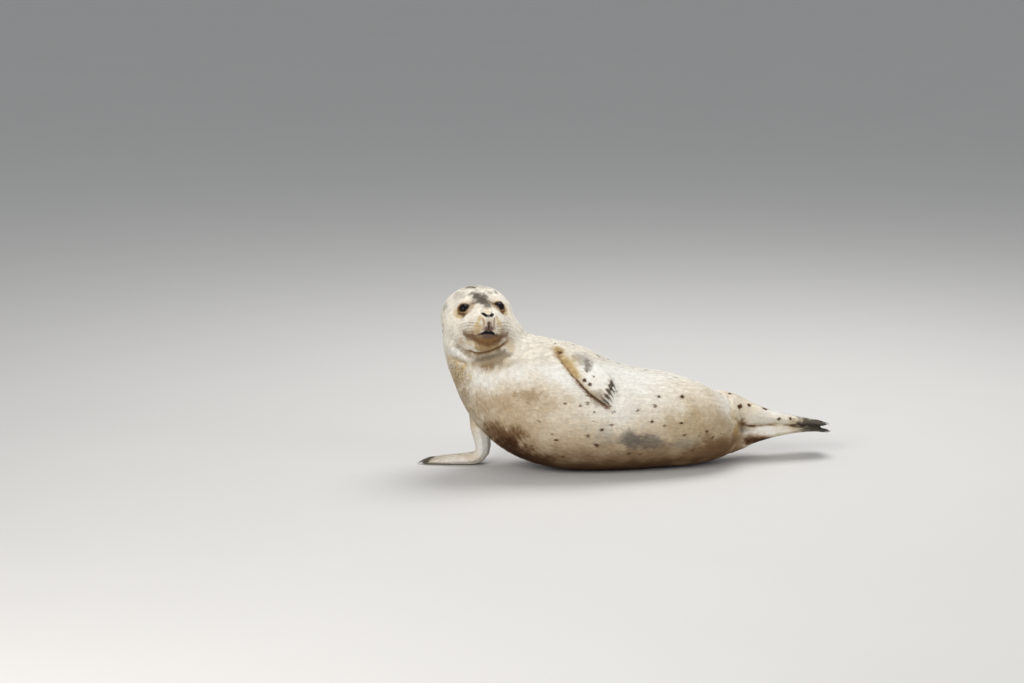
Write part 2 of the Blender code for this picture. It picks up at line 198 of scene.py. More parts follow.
def relaxed(values, edges, times, hold=None):
    """Values at vertices, averaged with their neighbours' several times; hold keeps a share of the old."""
    count = np.maximum(np.bincount(edges.ravel(), minlength=len(values)), 1)[:, None]
    for _ in range(times):
        total = np.stack([
            np.bincount(edges[:, 0], values[edges[:, 1], k], len(values))
            + np.bincount(edges[:, 1], values[edges[:, 0], k], len(values))
            for k in range(values.shape[1])
        ], axis=1)
        mean = (values + total / count) / 2
        values = mean if hold is None else values * hold[:, None] + mean * (1 - hold[:, None])
    return values


# ---- the skin
# how far each solid swells into its neighbours before they become one surface
SWELL = 0.4 * MM
VOXEL = 2.0 * MM
# rounds of smoothing on the trunk alone, then on all of it
TRUNK_SMOOTHING = 220
SMOOTHING = 15
# the skin's triangles before the face is refined, and how much finer face and flippers are kept
SKIN_TRIANGLES = 112000
KEEP_DETAIL = 3e-6
WEIGHT_LEVELS = 20
# where the hind flippers are pressed together: middle, half size and turn
PRESSED = ((0.375, 0.102, 0.0868), (0.095, 0.026, 0.0048), math.radians(12))


def joined_flesh():
    """All fleshy solids and the eyes, each a little swollen so that they overlap their neighbours."""
    whole = bmesh.new()
    for node in (*FLESH, *EYES):
        bm = bmesh.new()
        bm.from_mesh(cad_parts[node].data)
        bmesh.ops.remove_doubles(bm, verts=bm.verts, dist=1e-6)
        bm.normal_update()
        for vert in bm.verts:
            vert.co += vert.normal * SWELL
        part = bpy.data.meshes.new(node)
        bm.to_mesh(part)
        bm.free()
        whole.from_mesh(part)
        bpy.data.meshes.remove(part)
    place, half, turn = PRESSED
    matrix = Matrix.Translation(place) @ Matrix.Rotation(turn, 4, "Z") @ Matrix.Diagonal((*half, 1))
    bmesh.ops.create_icosphere(whole, subdivisions=3, radius=1, matrix=matrix)
    return made(whole, "skin")


def weigh(obj, name, weights):
    """A vertex group whose weights are rounded to a few levels."""
    made_group = obj.vertex_groups.new(name=name)
    levels = np.round(weights * WEIGHT_LEVELS).astype(int)
    for level in np.unique(levels):
        made_group.add(np.flatnonzero(levels == level).tolist(), level / WEIGHT_LEVELS, "REPLACE")


def limb_distance(points):
    """Distance in metres to the nearest flipper."""
    tree = BVHTree.FromPolygons(*gathered(FLIPPERS))
    return np.array([tree.find_nearest(p)[3] for p in points])


def gathered(nodes):
    """The vertices and faces of several nodes as one list of each."""
    verts, faces = [], []
    for node in nodes:
        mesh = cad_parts[node].data
        start = len(verts)
        verts += [v.co.copy() for v in mesh.vertices]
        faces += [[start + i for i in p.vertices] for p in mesh.polygons]
    return verts, faces


def refine(mesh, wanted):
    """Halves every edge whose two ends are wanted."""
    bm = bmesh.new()
    bm.from_mesh(mesh)
    keep = [e for e in bm.edges if wanted[e.verts[0].index] and wanted[e.verts[1].index]]
    bmesh.ops.subdivide_edges(bm, edges=keep, cuts=1, use_grid_fill=True)
    bmesh.ops.triangulate(bm, faces=[f for f in bm.faces if len(f.verts) > 4])
    bm.to_mesh(mesh)
    bm.free()


def base_skin():
    """One closed surface round all the flesh: smooth on the trunk, finer on face and flippers."""
    skin = joined_flesh()
    applied(skin, "REMESH", mode="VOXEL", voxel_size=VOXEL)
    points = points_of(skin.data)
    face = on_head(points)[:, 0]
    trunk = ramp(limb_distance(points), 0.004, 0.022) * ramp(face, 10, -50)
    weigh(skin, "trunk", trunk)
    applied(skin, "SMOOTH", factor=0.5, iterations=TRUNK_SMOOTHING, vertex_group="trunk")
    applied(skin, "SMOOTH", factor=0.5, iterations=SMOOTHING)
    skin.vertex_groups.clear()
    weigh(skin, "simplify", 0.5 + 0.5 * trunk)
    faces = sum(len(p.vertices) - 2 for p in skin.data.polygons)
    applied(skin, "DECIMATE", ratio=SKIN_TRIANGLES / faces, vertex_group="simplify",
            vertex_group_factor=KEEP_DETAIL)
    skin.vertex_groups.clear()
    for reach in (1.0, 0.5):
        place = on_head(points_of(skin.data))
        to_eye = np.minimum(*[np.linalg.norm(place - EYE_SPOTS[side], axis=1) for side in SIDES])
        lips = [on_muzzle(MOUTH + MOUTH_CORNER[1:], side) for side in SIDES]
        to_lips = np.minimum(*[along_line(place, lip)[0] for lip in lips])
        by_eye = (to_eye < 18 + 20 * reach) & (place[:, 0] > 40 - 20 * reach)
        by_nose = (off_muzzle(place) < 0.5 + 0.5 * reach) & (place[:, 0] > 60)
        fine = by_eye | (to_lips < 3 + 8 * reach) | by_nose
        refine(skin.data, fine)
        mesh = skin.data
        hold = np.where(np.append(fine, np.ones(len(mesh.vertices) - len(fine), bool)), 0.0, 1.0)
        move_points(mesh, relaxed(points_of(mesh), edges_of(mesh), 2, hold))
    bm = bmesh.new()
    bm.from_mesh(skin.data)
    bmesh.ops.triangulate(bm, faces=bm.faces)
    bm.to_mesh(skin.data)
    bm.free()
    return skin


# ---- the face, in head millimetres
SIDES = (1, -1)
MUZZLE = (92, 0, -34)
MUZZLE_REACH = (40, 46, 48)
# the muzzle is rolled a little about its own axis, round a point this far below the head's middle
MUZZLE_ROLL = 0.07
ROLL_CENTRE = -28
NOSTRIL = ((98, 17, 1.5), (104.5, 15.5, -2.5), (110.5, 11.5, -7.5), (114.4, 7, -12))
SEPTUM = ((114.4, 7, -12), (115.6, 3, -13), (116, 0, -13.4))
PHILTRUM = ((117, 0, -17), (116, 0, -30), (113, 0, -43), (108.5, 0, -52))
MOUTH = ((108, 0, -53), (107.5, 5, -53.2), (106.8, 10, -54), (105, 15, -56), (101.6, 21, -59.7))
MOUTH_CORNER = ((101.6, 21, -59.7), (97, 29, -62.3), (91, 39, -62), (84, 50, -58), (77, 58, -50))
LIP_FOLD = ((100.8, 0, -82), (100.2, 8, -81.6), (98, 15, -80), (96, 23, -77), (93, 31, -72), (89, 39, -66))
CHIN_CREASE = (
    (50, -54, -89), (58, -44.5, -94.7), (70, -27, -102), (77, -16.5, -103.5), (82, -4, -102.5),
    (86, 8, -99.8), (88, 22, -95), (86, 34, -88), (80.5, 46, -80.6), (77, 55, -69),
)
LOWER_LIP = ((99, -17, -67), (104, 0, -66), (99, 17, -67))
LIP_HEIGHT = 1.6 * MM
LIP_WIDTH = 5 * MM

# lines pressed into the skin: the line, how deep, how wide, whether it is on both sides
GROOVES = (
    (NOSTRIL, 4.5, 3.0, True),
    (SEPTUM, 0.9, 2.4, True),
    (PHILTRUM, 2.0, 2.3, False),
    (MOUTH, 4.2, 3.0, True),
    (MOUTH_CORNER, 2.2, 2.8, True),
    (LIP_FOLD, 1.8, 3.6, True),
    (CHIN_CREASE, 3.2, 6.5, False),
)
# soft swellings: middle, reach, height; each on both sides
SWELLINGS = (
    ((97, 25, -38), 17, 3.2),
    ((110, 8, -44), 8, 1.2),
    ((106, 19, -13), 7, 1.8),
    ((112, 0, -22), 7, 0.8),
    ((52, 47, 42), 12, 1.5),
    ((70, 52, 0), 12, 1.0),
    ((100, 8, -72), 15, -1.6),
)
GAZE = (0.93, 0.28, 0.17)
SLIT_TILT = math.radians(21)
# the slit's reach towards the nose and away from it, then above and below
SLIT = (14.4, 12.2)
SLIT_TALL = (9.5, 9.1)
# the lid's thickness, its rolled rim, and how deep it is tucked behind the eyeball's surface
LID = 1.0
LID_ROLL = 0.9
BEHIND_LID = 3.5
# the coat's depth on the trunk, how much thinner it is on the head, and its depth on the flippers
TRUNK_DEPTH = 2.0
HEAD_THINNER = 1.0
FLIPPER_DEPTH = 0.55


def mirrored(line, side):
    """A line of the left half, or its twin on the right."""
    return [(x, y * side, z) for x, y, z in line]


def on_muzzle(line, side):
    """A line of the muzzle's right or left half, rolled with the muzzle."""
    return [(x, y * side + MUZZLE_ROLL * (z - ROLL_CENTRE), z - MUZZLE_ROLL * y * side) for x, y, z in line]


def off_muzzle(place):
    """How far each head place is from the muzzle's middle; 1 on its outline."""
    return np.linalg.norm((place - MUZZLE) / MUZZLE_REACH, axis=1)


def laid(line, tree, step=1.5):
    """A line of head places rounded at its corners and laid on the skin."""
    line = np.asarray(line, float)
    run = np.append(0, np.cumsum(np.linalg.norm(np.diff(line, axis=0), axis=1)))
    count = max(4, int(run[-1] / step))
    fine = np.stack([np.interp(np.linspace(0, run[-1], count), run, line[:, k]) for k in range(3)], axis=1)
    for _ in range(3):
        fine[1:-1] = (fine[:-2] + 2 * fine[1:-1] + fine[2:]) / 4
    return np.array([tree.find_nearest(p)[0] for p in from_head(fine)])


def runs_of(line, both, tree):
    """A line laid on the skin; one that is on both sides is rolled with the muzzle and mirrored."""
    return [laid(on_muzzle(line, side), tree) for side in SIDES] if both else [laid(line, tree)]


def tree_of(mesh):
    """A search tree of a mesh's surface."""
    mesh.calc_loop_triangles()
    triangles = [tuple(t.vertices) for t in mesh.loop_triangles]
    return BVHTree.FromPolygons([v.co for v in mesh.vertices], triangles)


def eye_axes(side):
    """The eye's line of sight, and the slit's own directions towards the nose and upwards."""
    gaze = unit(np.array(GAZE) * (1, side, 1))
    inward = np.array((0, -side * math.cos(SLIT_TILT), math.sin(SLIT_TILT)))
    inward = unit(inward - gaze * (inward @ gaze))
    return gaze, inward, np.cross(gaze, inward) * -side


def slit_place(place, side):
    """How far each head place is from the middle of the eye's slit (1 on the lids' edge), its place
    towards the nose and upwards, and its distance from the eye's centre."""
    away = place - EYE_SPOTS[side]
    gaze, inward, upward = eye_axes(side)
    direction = unit(away)
    angle = np.arccos(np.clip(direction @ gaze, -1, 1))
    reach = EYE_RADIUS / MM * angle / np.maximum(np.sin(angle), 1e-6)
    x, y = reach * (direction @ inward), reach * (direction @ upward)
    power = np.where(x > 0, 1.5, 2.0)
    length = np.where(x > 0, SLIT[0], SLIT[1])
    height = np.where(y > 0, SLIT_TALL[0], SLIT_TALL[1])
    out = ((np.abs(x) / length) ** power + (np.abs(y) / height) ** power) ** (1 / power)
    return np.where(angle < 1.5, out, 9.0), x, y, np.linalg.norm(away, axis=1)


def open_lids(place, side):
    """Draws the skin round an eye into two lids and tucks it behind the ball inside the slit."""
    centre = EYE_SPOTS[side]
    out, _, y, radius = slit_place(place, side)
    ball = EYE_RADIUS / MM
    lid = ball - BEHIND_LID + (BEHIND_LID + LID) * ramp(out, 0.92, 1.04) + LID_ROLL * ramp(out, 1.05, 1.3)
    lid -= 0.9 * bell(out - 1.62, 0.13) * ramp(y, -3, 3)
    share = ramp(out, 2.4, 1.35) * (radius < 36)
    wanted = radius * (1 - share) + lid * share
    return centre + (place - centre) * (wanted / radius)[:, None]


def coat_depth(points):
    """How far the skin lies inside the coat's tips, in metres."""
    place = on_head(points)
    depth = TRUNK_DEPTH - HEAD_THINNER * ramp(place[:, 0], -90, 0) * ramp(place[:, 2], -150, -110)
    depth = depth * (1 - 0.4 * ramp(off_muzzle(place), 1.4, 0.8))
    limb = FLIPPER_DEPTH + (TRUNK_DEPTH - FLIPPER_DEPTH) * ramp(limb_distance(points), 0.002, 0.03)
    return np.minimum(depth, limb) * MM


def sculpt(skin):
    """Gives the plain skin its face and folds, and sets it inside the coat."""
    mesh = skin.data
    tree = tree_of(mesh)
    points = points_of(mesh)
    normal = normals_of(mesh)
    push = -coat_depth(points)
    place = on_head(points)
    ahead = np.flatnonzero(place[:, 0] > 20)
    for line, depth, width, both in GROOVES:
        for run in runs_of(line, both, tree):
            away, along, _ = along_line(points[ahead], run)
            last = 1 if line is MOUTH else ramp(along, 1.06, 0.75)
            first = 1 if both else ramp(along, -0.06, 0.2)
            push[ahead] -= depth * MM * bell(away, width * MM) * last * first
    for middle_place, reach, height in SWELLINGS:
        for side in SIDES:
            away = np.linalg.norm(place[ahead] - mirrored([middle_place], side)[0], axis=1)
            push[ahead] += height * MM * bell(away, reach)
    to_lip, _, _ = along_line(points[ahead], laid(LOWER_LIP, tree))
    push[ahead] += LIP_HEIGHT * bell(to_lip, LIP_WIDTH)
    push += body_folds(points)
    place = on_head(points + normal * push[:, None])
    for side in SIDES:
        place = open_lids(place, side)
    move_points(mesh, from_head(place))


# folds: a line, its height (below 0 is a crease) and its width; of the neck in head millimetres
NECK_FOLDS = (
    (((2, -86, -66), (21, -79, -76), (35, -68, -90), (43, -56, -103), (50, -42, -114)), 8.0, 12),
    (((34, -74, -62), (48, -62, -79), (56, -46, -96), (62, -34, -107)), -3.5, 7),
    (((-12, -86, -94), (10, -78, -106), (28, -64, -117), (40, -48, -126)), -6.0, 9),
    (((53, -36, -120), (62, -20, -123), (74, 4, -121), (81, 40, -112)), -2.5, 7),
    (((60, -25, -140), (70, 10, -142), (84, 50, -130), (86, 80, -118)), 2.0, 9),
)
# and where the hind flippers leave the hips, in millimetres of the row
HIP_FOLDS = (
    (((269, 64, 182), (274, 5, 149), (286, 4, 128)), -2.5, 7),
    (((286, 4, 128), (298, 16, 108), (295, 20, 76), (276, 7, 44)), -3.0, 7),
)


def body_folds(points):
    """How far the folds of neck and hips push each point out, in metres."""
    push = np.zeros(len(points))
    for folds, spots in ((NECK_FOLDS, on_head(points)), (HIP_FOLDS, points / MM)):
        for line, height, width in folds:
            away, along, _ = along_line(spots, line)
            push += height * MM * bell(away, width) * faded(along)
    return push


# ---- markings, painted light and shade among them
CREAM = (0.78, 0.70, 0.57)
WHITE = (0.88, 0.87, 0.84)
TAN = (0.42, 0.305, 0.18)
FAWN = (0.58, 0.47, 0.30)
BROWN = (0.15, 0.080, 0.036)
AMBER = (0.175, 0.090, 0.030)
DEEP_BROWN = (0.065, 0.028, 0.012)
GOLD = (0.40, 0.25, 0.09)
GREY = (0.25, 0.235, 0.20)
SLATE = (0.150, 0.131, 0.108)
SMOKE = (0.085, 0.072, 0.056)
UMBER = (0.205, 0.165, 0.115)
PLUM = (0.115, 0.070, 0.055)
BLACK = (0.012, 0.009, 0.008)

# soft marks on the head, in head millimetres: middle, reach each way, colour, strength, raggedness
HEAD_MARKS = (
    ((20, 0, 86), (34, 46, 20), GREY, 0.55, 0.5),
    ((60, -1, 41), (24, 22, 23), SMOKE, 0.90, 0.25),
    ((49, -8, 55), (14, 15, 12), SMOKE, 0.55, 0.35),
    ((70, 7, 30), (15, 16, 13), SMOKE, 0.75, 0.3),
    ((52, 15, 49), (8, 8, 8), SMOKE, 0.50, 0.45),
    ((83, 6, 18), (16, 15, 13), SLATE, 0.85, 0.35),
    ((92, 2, 7), (9, 11, 8), TAN, 0.45, 0.3),
    ((104, 0, -3), (9, 14, 7), TAN, 0.45, 0.3),
    ((31, -9, 75), (8, 9, 7), SMOKE, 0.75, 0.3),
    ((23, -14, 80), (8, 15, 6), SMOKE, 0.60, 0.35),
    ((42, 29, 58), (7, 12, 6), GREY, 0.65, 0.35),
    ((31, 48, 60), (7, 6, 6), GREY, 0.62, 0.6),
    ((17, -84, 35), (12, 9, 14), GREY, 0.45, 0.5),
    ((36, -50, 60), (20, 20, 16), GREY, 0.35, 0.5),
    ((112, -11, -20), (5, 7, 10), CREAM, 0.80, 0.2),
    ((114, 0, -27), (9, 17, 10), TAN, 0.42, 0.3),
    ((110, -22, -18), (7, 8, 13), GOLD, 0.45, 0.35),
    ((106, 23, -18), (6, 7, 11), GOLD, 0.35, 0.35),
    ((107, -27, -37), (10, 12, 13), GOLD, 0.45, 0.35),
    ((107, 27, -34), (9, 10, 12), GOLD, 0.35, 0.35),
    ((99, -36, -50), (12, 18, 11), TAN, 0.60, 0.3),
    ((100, 35, -50), (10, 11, 8), TAN, 0.50, 0.4),
    ((86, -47, -62), (12, 16, 8), BROWN, 0.50, 0.4),
    ((91, 41, -60), (9, 10, 7), BROWN, 0.25, 0.4),
    ((109, 19, -8), (6, 5, 7), WHITE, 0.60, 0.1),
    ((98, -2, -73), (16, 44, 15), AMBER, 0.95, 0.12),
    ((92, -36, -65), (12, 15, 8), BROWN, 0.80, 0.15),
    ((94, 30, -66), (10, 13, 8), BROWN, 0.70, 0.15),
    ((92, -4, -90), (16, 50, 14), FAWN, 0.90, 0.2),
    ((94, -8, -92), (17, 54, 14), AMBER, 0.36, 0.45),
    ((79, -46, -74), (12, 14, 9), FAWN, 0.55, 0.3),
    ((56, -64, -67), (16, 12, 16), TAN, 0.38, 0.4),
    ((28, -70, -88), (30, 26, 13), WHITE, 0.70, 0.2),
    ((54, -34, -121), (14, 16, 8), TAN, 0.60, 0.3),
    ((30, -58, -122), (26, 20, 10), GOLD, 0.32, 0.5),
    # painted shade under the chin, across the throat
    ((71, -4, -119), (28, 50, 22), UMBER, 0.95, 0.15),
    ((79, 36, -108), (18, 28, 14), UMBER, 0.70, 0.25),
    # painted shade in the crease between jaw and neck on the right
    ((74, 60, -84), (18, 14, 24), FAWN, 0.60, 0.2),
    ((65, -8, -134), (14, 16, 7), BROWN, 0.60, 0.4),
    # more painted shade over the throat
    ((66, 10, -128), (40, 60, 18), TAN, 0.45, 0.3),
)
# bare dark skin of nose and lips, as the marks above
BARE_MARKS = (
    ((113, 1, -13), (9, 9, 5), SLATE, 0.85, 0),
    ((112, 0, -34), (9, 8, 9), PLUM, 0.70, 0),
    ((110, -1, -45), (11, 17, 9), PLUM, 0.97, 0),
    ((103, -2, -63), (12, 26, 8), PLUM, 0.95, 0),
)
# lines on the head: line, half width, colour, strength, on both sides
HEAD_LINES = (
    (((113, 15, -20), (114, 12.5, -30), (112, 12.5, -42)), 2.8, BROWN, 0.35, True),
    (MOUTH_CORNER, 3.4, BROWN, 0.60, True),
    # painted shade in the lip fold and the chin crease
    (LIP_FOLD, 4.6, BROWN, 0.92, True),
    (CHIN_CREASE, 4.6, BROWN, 0.92, False),
    # painted shade in the creases above and below the roll of the neck
    (((34, -74, -66), (48, -62, -82), (56, -46, -98), (62, -34, -108)), 5.0, UMBER, 0.60, False),
    (((-12, -86, -94), (10, -78, -106), (28, -64, -117), (40, -48, -126)), 5.0, TAN, 0.55, False),
)
# openings, painted with shade to their depths: line, half width, colour, strength
OPENINGS = (
    (PHILTRUM[1:], 1.5, BLACK, 0.6),
    (SEPTUM, 2.0, SMOKE, 0.60),
    (NOSTRIL, 3.9, BLACK, 1.0),
    (MOUTH, 3.2, BLACK, 1.0),
    (((106, 0, -56), (105, 9, -57), (103, 15, -58.5)), 2.6, BLACK, 1.0),
)
OPENING_DEPTH = 0.35
# streaks that draw together at the corner of the mouth: the first and the last, from pad to lip
STREAK_FAN = (((98, 36, -47), (93, 34, -65)), ((76, 62, -38), (80, 52, -62)))
STREAKS = 8
STREAK_STRENGTH = {1: 0.40, -1: 0.75}
# rows of whisker pits: the first and last place of a row
PAD_ROWS = (
    ((112, 15, -36), (88, 52, -22)),
    ((112, 15, -41), (86, 57, -31)),
    ((110, 16, -46), (83, 60, -40)),
    ((108, 17, -50), (80, 61, -48)),
    ((105, 19, -55), (80, 60, -55)),
    ((101, 24, -59), (82, 56, -60)),
)

WHISKERS_IN_ROW = 5

# the same kinds of marks and lines on the body, in millimetres of the row
BODY_MARKS = (
    ((0, -154, 104), (34, 50, 26), SLATE, 0.80, 0.35),
    ((50, -140, 96), (36, 50, 26), SLATE, 0.62, 0.4),
    ((-75, -170, 118), (40, 40, 26), GREY, 0.30, 0.5),
    ((150, -105, 140), (75, 50, 40), FAWN, 0.60, 0.5),
    ((230, -60, 120), (60, 60, 40), TAN, 0.32, 0.5),
    ((150, -105, 85), (50, 50, 26), GREY, 0.45, 0.5),
    ((-258, -176, 228), (34, 30, 17), BROWN, 0.30, 0.6),
    # the belly's grime and painted shade carried higher up the chest
    ((-300, -165, 200), (150, 80, 80), TAN, 0.36, 0.2),
    ((-225, -175, 205), (70, 50, 35), TAN, 0.25, 0.4),
    ((170, -100, 120), (100, 60, 45), TAN, 0.32, 0.4),
    # painted shade low on the hips, over the floor
    ((230, -50, 50), (120, 90, 50), BROWN, 0.74, 0.15),
    # wet grime under the chest and the raised arm, deepened with painted shade where the chest hangs over
    # the floor
    ((-330, -130, 115), (58, 80, 40), BROWN, 0.84, 0.35),
    ((-330, -125, 70), (70, 75, 46), DEEP_BROWN, 0.88, 0.4),
    ((-262, -110, 46), (60, 100, 26), DEEP_BROWN, 0.80, 0.3),
    ((-442, -95, 268), (45, 70, 34), GOLD, 0.30, 0.6),
    ((-440, -90, 210), (40, 70, 45), TAN, 0.12, 0.6),
    ((-395, -140, 180), (35, 50, 50), TAN, 0.45, 0.6),
    ((-335, -165, 205), (55, 50, 38), TAN, 0.45, 0.4),
    ((-120, -110, 306), (30, 34, 22), SLATE, 0.30, 0.5),
    ((-106, -121, 296), (13, 30, 13), SLATE, 0.60, 0.6),
    ((-80, -168, 218), (24, 30, 18), UMBER, 0.60, 0.5),
    ((-150, -120, 300), (22, 30, 16), GOLD, 0.30, 0.3),
    ((-185, -95, 322), (13, 30, 12), AMBER, 0.40, 0.4),
    # painted shadow under the lower hind flipper and in the fold at its root
    ((346, 56, 55), (36, 50, 19), DEEP_BROWN, 1.00, 0.35),
    ((302, 30, 102), (16, 50, 16), DEEP_BROWN, 0.70, 0.4),
    ((288, -2, 98), (14, 30, 22), GOLD, 0.60, 0.4),
    ((276, 4, 140), (18, 30, 20), GOLD, 0.40, 0.5),
    ((320, 56, 128), (20, 40, 14), FAWN, 0.30, 0.5),
    ((370, 75, 118), (90, 60, 28), WHITE, 0.60, 0.2),
    ((370, 70, 77), (70, 50, 16), WHITE, 0.80, 0.2),
    ((270, 10, 180), (60, 80, 55), WHITE, 0.70, 0.2),
    ((-70, -170, 170), (130, 60, 60), WHITE, 0.40, 0.3),
    ((-372, -10, 70), (34, 50, 55), WHITE, 0.90, 0.1),
    ((-440, 0, 10), (70, 50, 16), WHITE, 0.60, 0.2),
)
BODY_LINES = (
    (((-192, -86, 330), (-172, -114, 314), (-152, -135, 293), (-135, -151, 274)), 10, GOLD, 0.80),
    # painted shadow along the fore flipper's edge
    (((-188, -94, 322), (-180, -118, 306), (-160, -137, 284), (-137, -152, 260)), 3.4, BROWN, 0.95),
    (((-188, -98, 321), (-171, -125, 301), (-150, -143, 277)), 6.0, AMBER, 0.45),
    # painted shade under the fore flipper's lower edge, then the shadow it casts on the flank
    (((-137, -158, 266), (-110, -168, 242), (-85, -170, 218)), 7.0, TAN, 0.6),
    (((-137, -152, 260), (-115, -160, 236), (-99, -164, 222), (-60, -165, 193)), 5.0, DEEP_BROWN, 1.0),
    # painted shadow in the crease between the hind flippers, and painted shade in the hip's fold
    (((298, 48, 95), (320, 64, 92), (345, 78, 90), (400, 92, 89), (460, 98, 86)), 3.6, DEEP_BROWN, 0.92),
    (((286, 4, 128), (298, 16, 108), (295, 20, 76)), 4.5, BROWN, 0.65),
    (((269, 58, 182), (274, 3, 149), (284, 0, 128)), 5.0, GOLD, 0.25),
)
# dark streaks up the fore flipper from its claws
DIGIT_STREAK = (-23, 0, 28)
STREAK_WIDTH = 2.6
# small dark flecks on the belly's side: place and size
FLECKS = (
    (-236, -179, 162, 3.2), (-206, -175, 125, 3.4), (-193, -171, 108, 4.2), (-111, -175, 120, 3.0),
    (-75, -174, 135, 4.0), (-90, -166, 94, 4.0), (-96, -174, 182, 2.6), (-98, -177, 159, 2.2),
    (18, -145, 181, 3.4), (-44, -164, 180, 2.4), (131, -116, 141, 3.6), (-5, -160, 137, 2.2),
    (76, -106, 210, 4.2), (134, -81, 204, 4.6), (200, -87, 113, 3.2), (241, -60, 99, 3.4),
    (216, -75, 92, 3.6), (-53, -150, 69, 2.6), (40, -137, 79, 2.4), (323, 59, 150, 4.2),
    (366, 81, 136, 5.5), (298, 46, 149, 4.4), (404, 72, 109, 3.4), (272, 64, 182, 3.6),
    (-116, -158, 263, 4.2), (-103, -161, 253, 3.6), (-126, -157, 247, 2.8), (-111, -139, 282, 2.6),
    (-93, -143, 270, 2.2), (-114, -165, 225, 2.4), (291, -17, 95, 4.0), (161, -90, 63, 3.0),
    (243, -34, 45, 3.0), (435, 81, 110, 3.4), (-254, -124, 58, 3.0), (-176, -140, 60, 3.0),
    (-195, -60, 338, 2.6), (-182, -96, 324, 3.2), (-171, -178, 206, 3.0), (-132, -176, 199, 3.2),
    (62, -124, 191, 3.4), (53, -142, 150, 3.2), (-5, -137, 62, 3.4), (26, -129, 60, 3.2),
    (85, -134, 137, 3.0), (140, -112, 110, 3.2), (-50, -169, 147, 3.2), (-88, -164, 90, 3.4),
    (-114, -172, 205, 3.0),
)
# flecks scattered over the back and the far side: how many, the smallest and the largest
HIDDEN_FLECKS = 260
FLECK_SIZES = (1.6, 5.5)
SEED = 11
# the sizes of the random fields that the markings share, in metres
BROAD, SOFT, FINE = 0.16, 0.05, 0.013
# darkening from the belly up, the shore's grime with painted shade under the body, and how strong each
# layer is
GRIME_AND_SHADE = 0.62
DARKEST_GRIME_AND_SHADE = 0.55


def waves(points, size, seed, count=16):
    """A soft random field with features of about the given size, mostly between -1 and 1."""
    rng = np.random.default_rng(seed)
    turns = unit(rng.normal(size=(count, 3))) * (2 * math.pi / size) * rng.uniform(0.6, 1.3, (count, 1))
    return np.cos(points @ turns.T + rng.uniform(0, 2 * math.pi, count)).sum(axis=1) / math.sqrt(count)


def stain(colour, share, paint):
    """Mixes a paint into colours as dark and pale hairs mix; share is how much of it each point takes."""
    return colour ** (1 - share[:, None]) * np.asarray(paint) ** share[:, None]


def blotted(colour, spots, marks, ragged):
    """Adds soft marks at spots; ragged is a field that frays their edges."""
    for place, reach, paint, strength, fray in marks:
        away = np.linalg.norm((spots - place) / reach, axis=1)
        near = away < 2.2
        share = strength * ramp(away[near] + fray * ragged[near], 1.25, 0.35)
        colour[near] = stain(colour[near], share, paint)
    return colour


def hidden_flecks(tree):
    """Flecks scattered over the back and the far side, thickest along the back's ridge."""
    rng = np.random.default_rng(SEED)
    low, high = (np.array(v) for v in CAD_BOX)
    places = []
    while len(places) < HIDDEN_FLECKS:
        spot = rng.uniform(low, high)
        place, normal, _, away = tree.find_nearest(spot)
        if away < 0.03 and normal.y > -0.25 + 0.3 * rng.random():
            places.append((*place, rng.uniform(*FLECK_SIZES) * MM))
    return places


def base_colour(points, normals, on_face, broad, soft, fine):
    """The coat's own colour, lit paler above and darkened below by the shore's grime and painted shade; the
    raised arm and hind flippers stay clear of grime and shade.
    """
    x, height, facing = points[:, 0], points[:, 2], normals[:, 1]
    colour = np.tile(CREAM, (len(points), 1))
    # whiter higher up: partly the pale coat of the back, partly painted light falling from above
    pale_and_lit_top = np.clip(0.30 + 0.25 * broad + 0.9 * ramp(height, 0.18, 0.31), 0, 1) * (0.85 - 0.45 * on_face)
    colour = stain(colour, pale_and_lit_top, WHITE)
    arm = ramp(x, -0.345, -0.365) * ramp(height, 0.13, 0.10) * ramp(points[:, 1], -0.07, -0.04)
    grimed_and_shaded = 1 - 0.92 * np.maximum(arm, ramp(x, 0.295, 0.315))
    front = grimed_and_shaded * (1 - 0.5 * ramp(facing, -0.2, 0.4))
    # the shore's grime with painted shade, deepening towards the floor in three layers
    colour = stain(colour, ramp(height + 0.03 * broad + 0.015 * soft, 0.225, 0.05) * GRIME_AND_SHADE * front, TAN)
    colour = stain(colour, ramp(height + 0.010 * soft + 0.005 * fine, 0.115, 0.022) * GRIME_AND_SHADE * grimed_and_shaded, BROWN)
    colour = stain(colour, ramp(height + 0.005 * soft, 0.050, 0.012) * DARKEST_GRIME_AND_SHADE * grimed_and_shaded, DEEP_BROWN)
    colour = stain(colour, 0.30 * arm * ramp(x, -0.42, -0.52), GREY)
    yellow = ramp(x, 0.02, 0.16) * ramp(height, 0.20, 0.11) * ramp(facing, 0.2, -0.4)
    colour = stain(colour, np.clip(yellow * (0.34 + 0.18 * soft), 0, 1), FAWN)
    # the back and the far side are greyer and mottled
    back = ramp(facing + 0.25 * broad, 0.05, 0.75) * (1 - on_face)
    return stain(colour, np.clip(back * (0.34 + 0.22 * soft + 0.10 * fine), 0, 0.8), GREY)


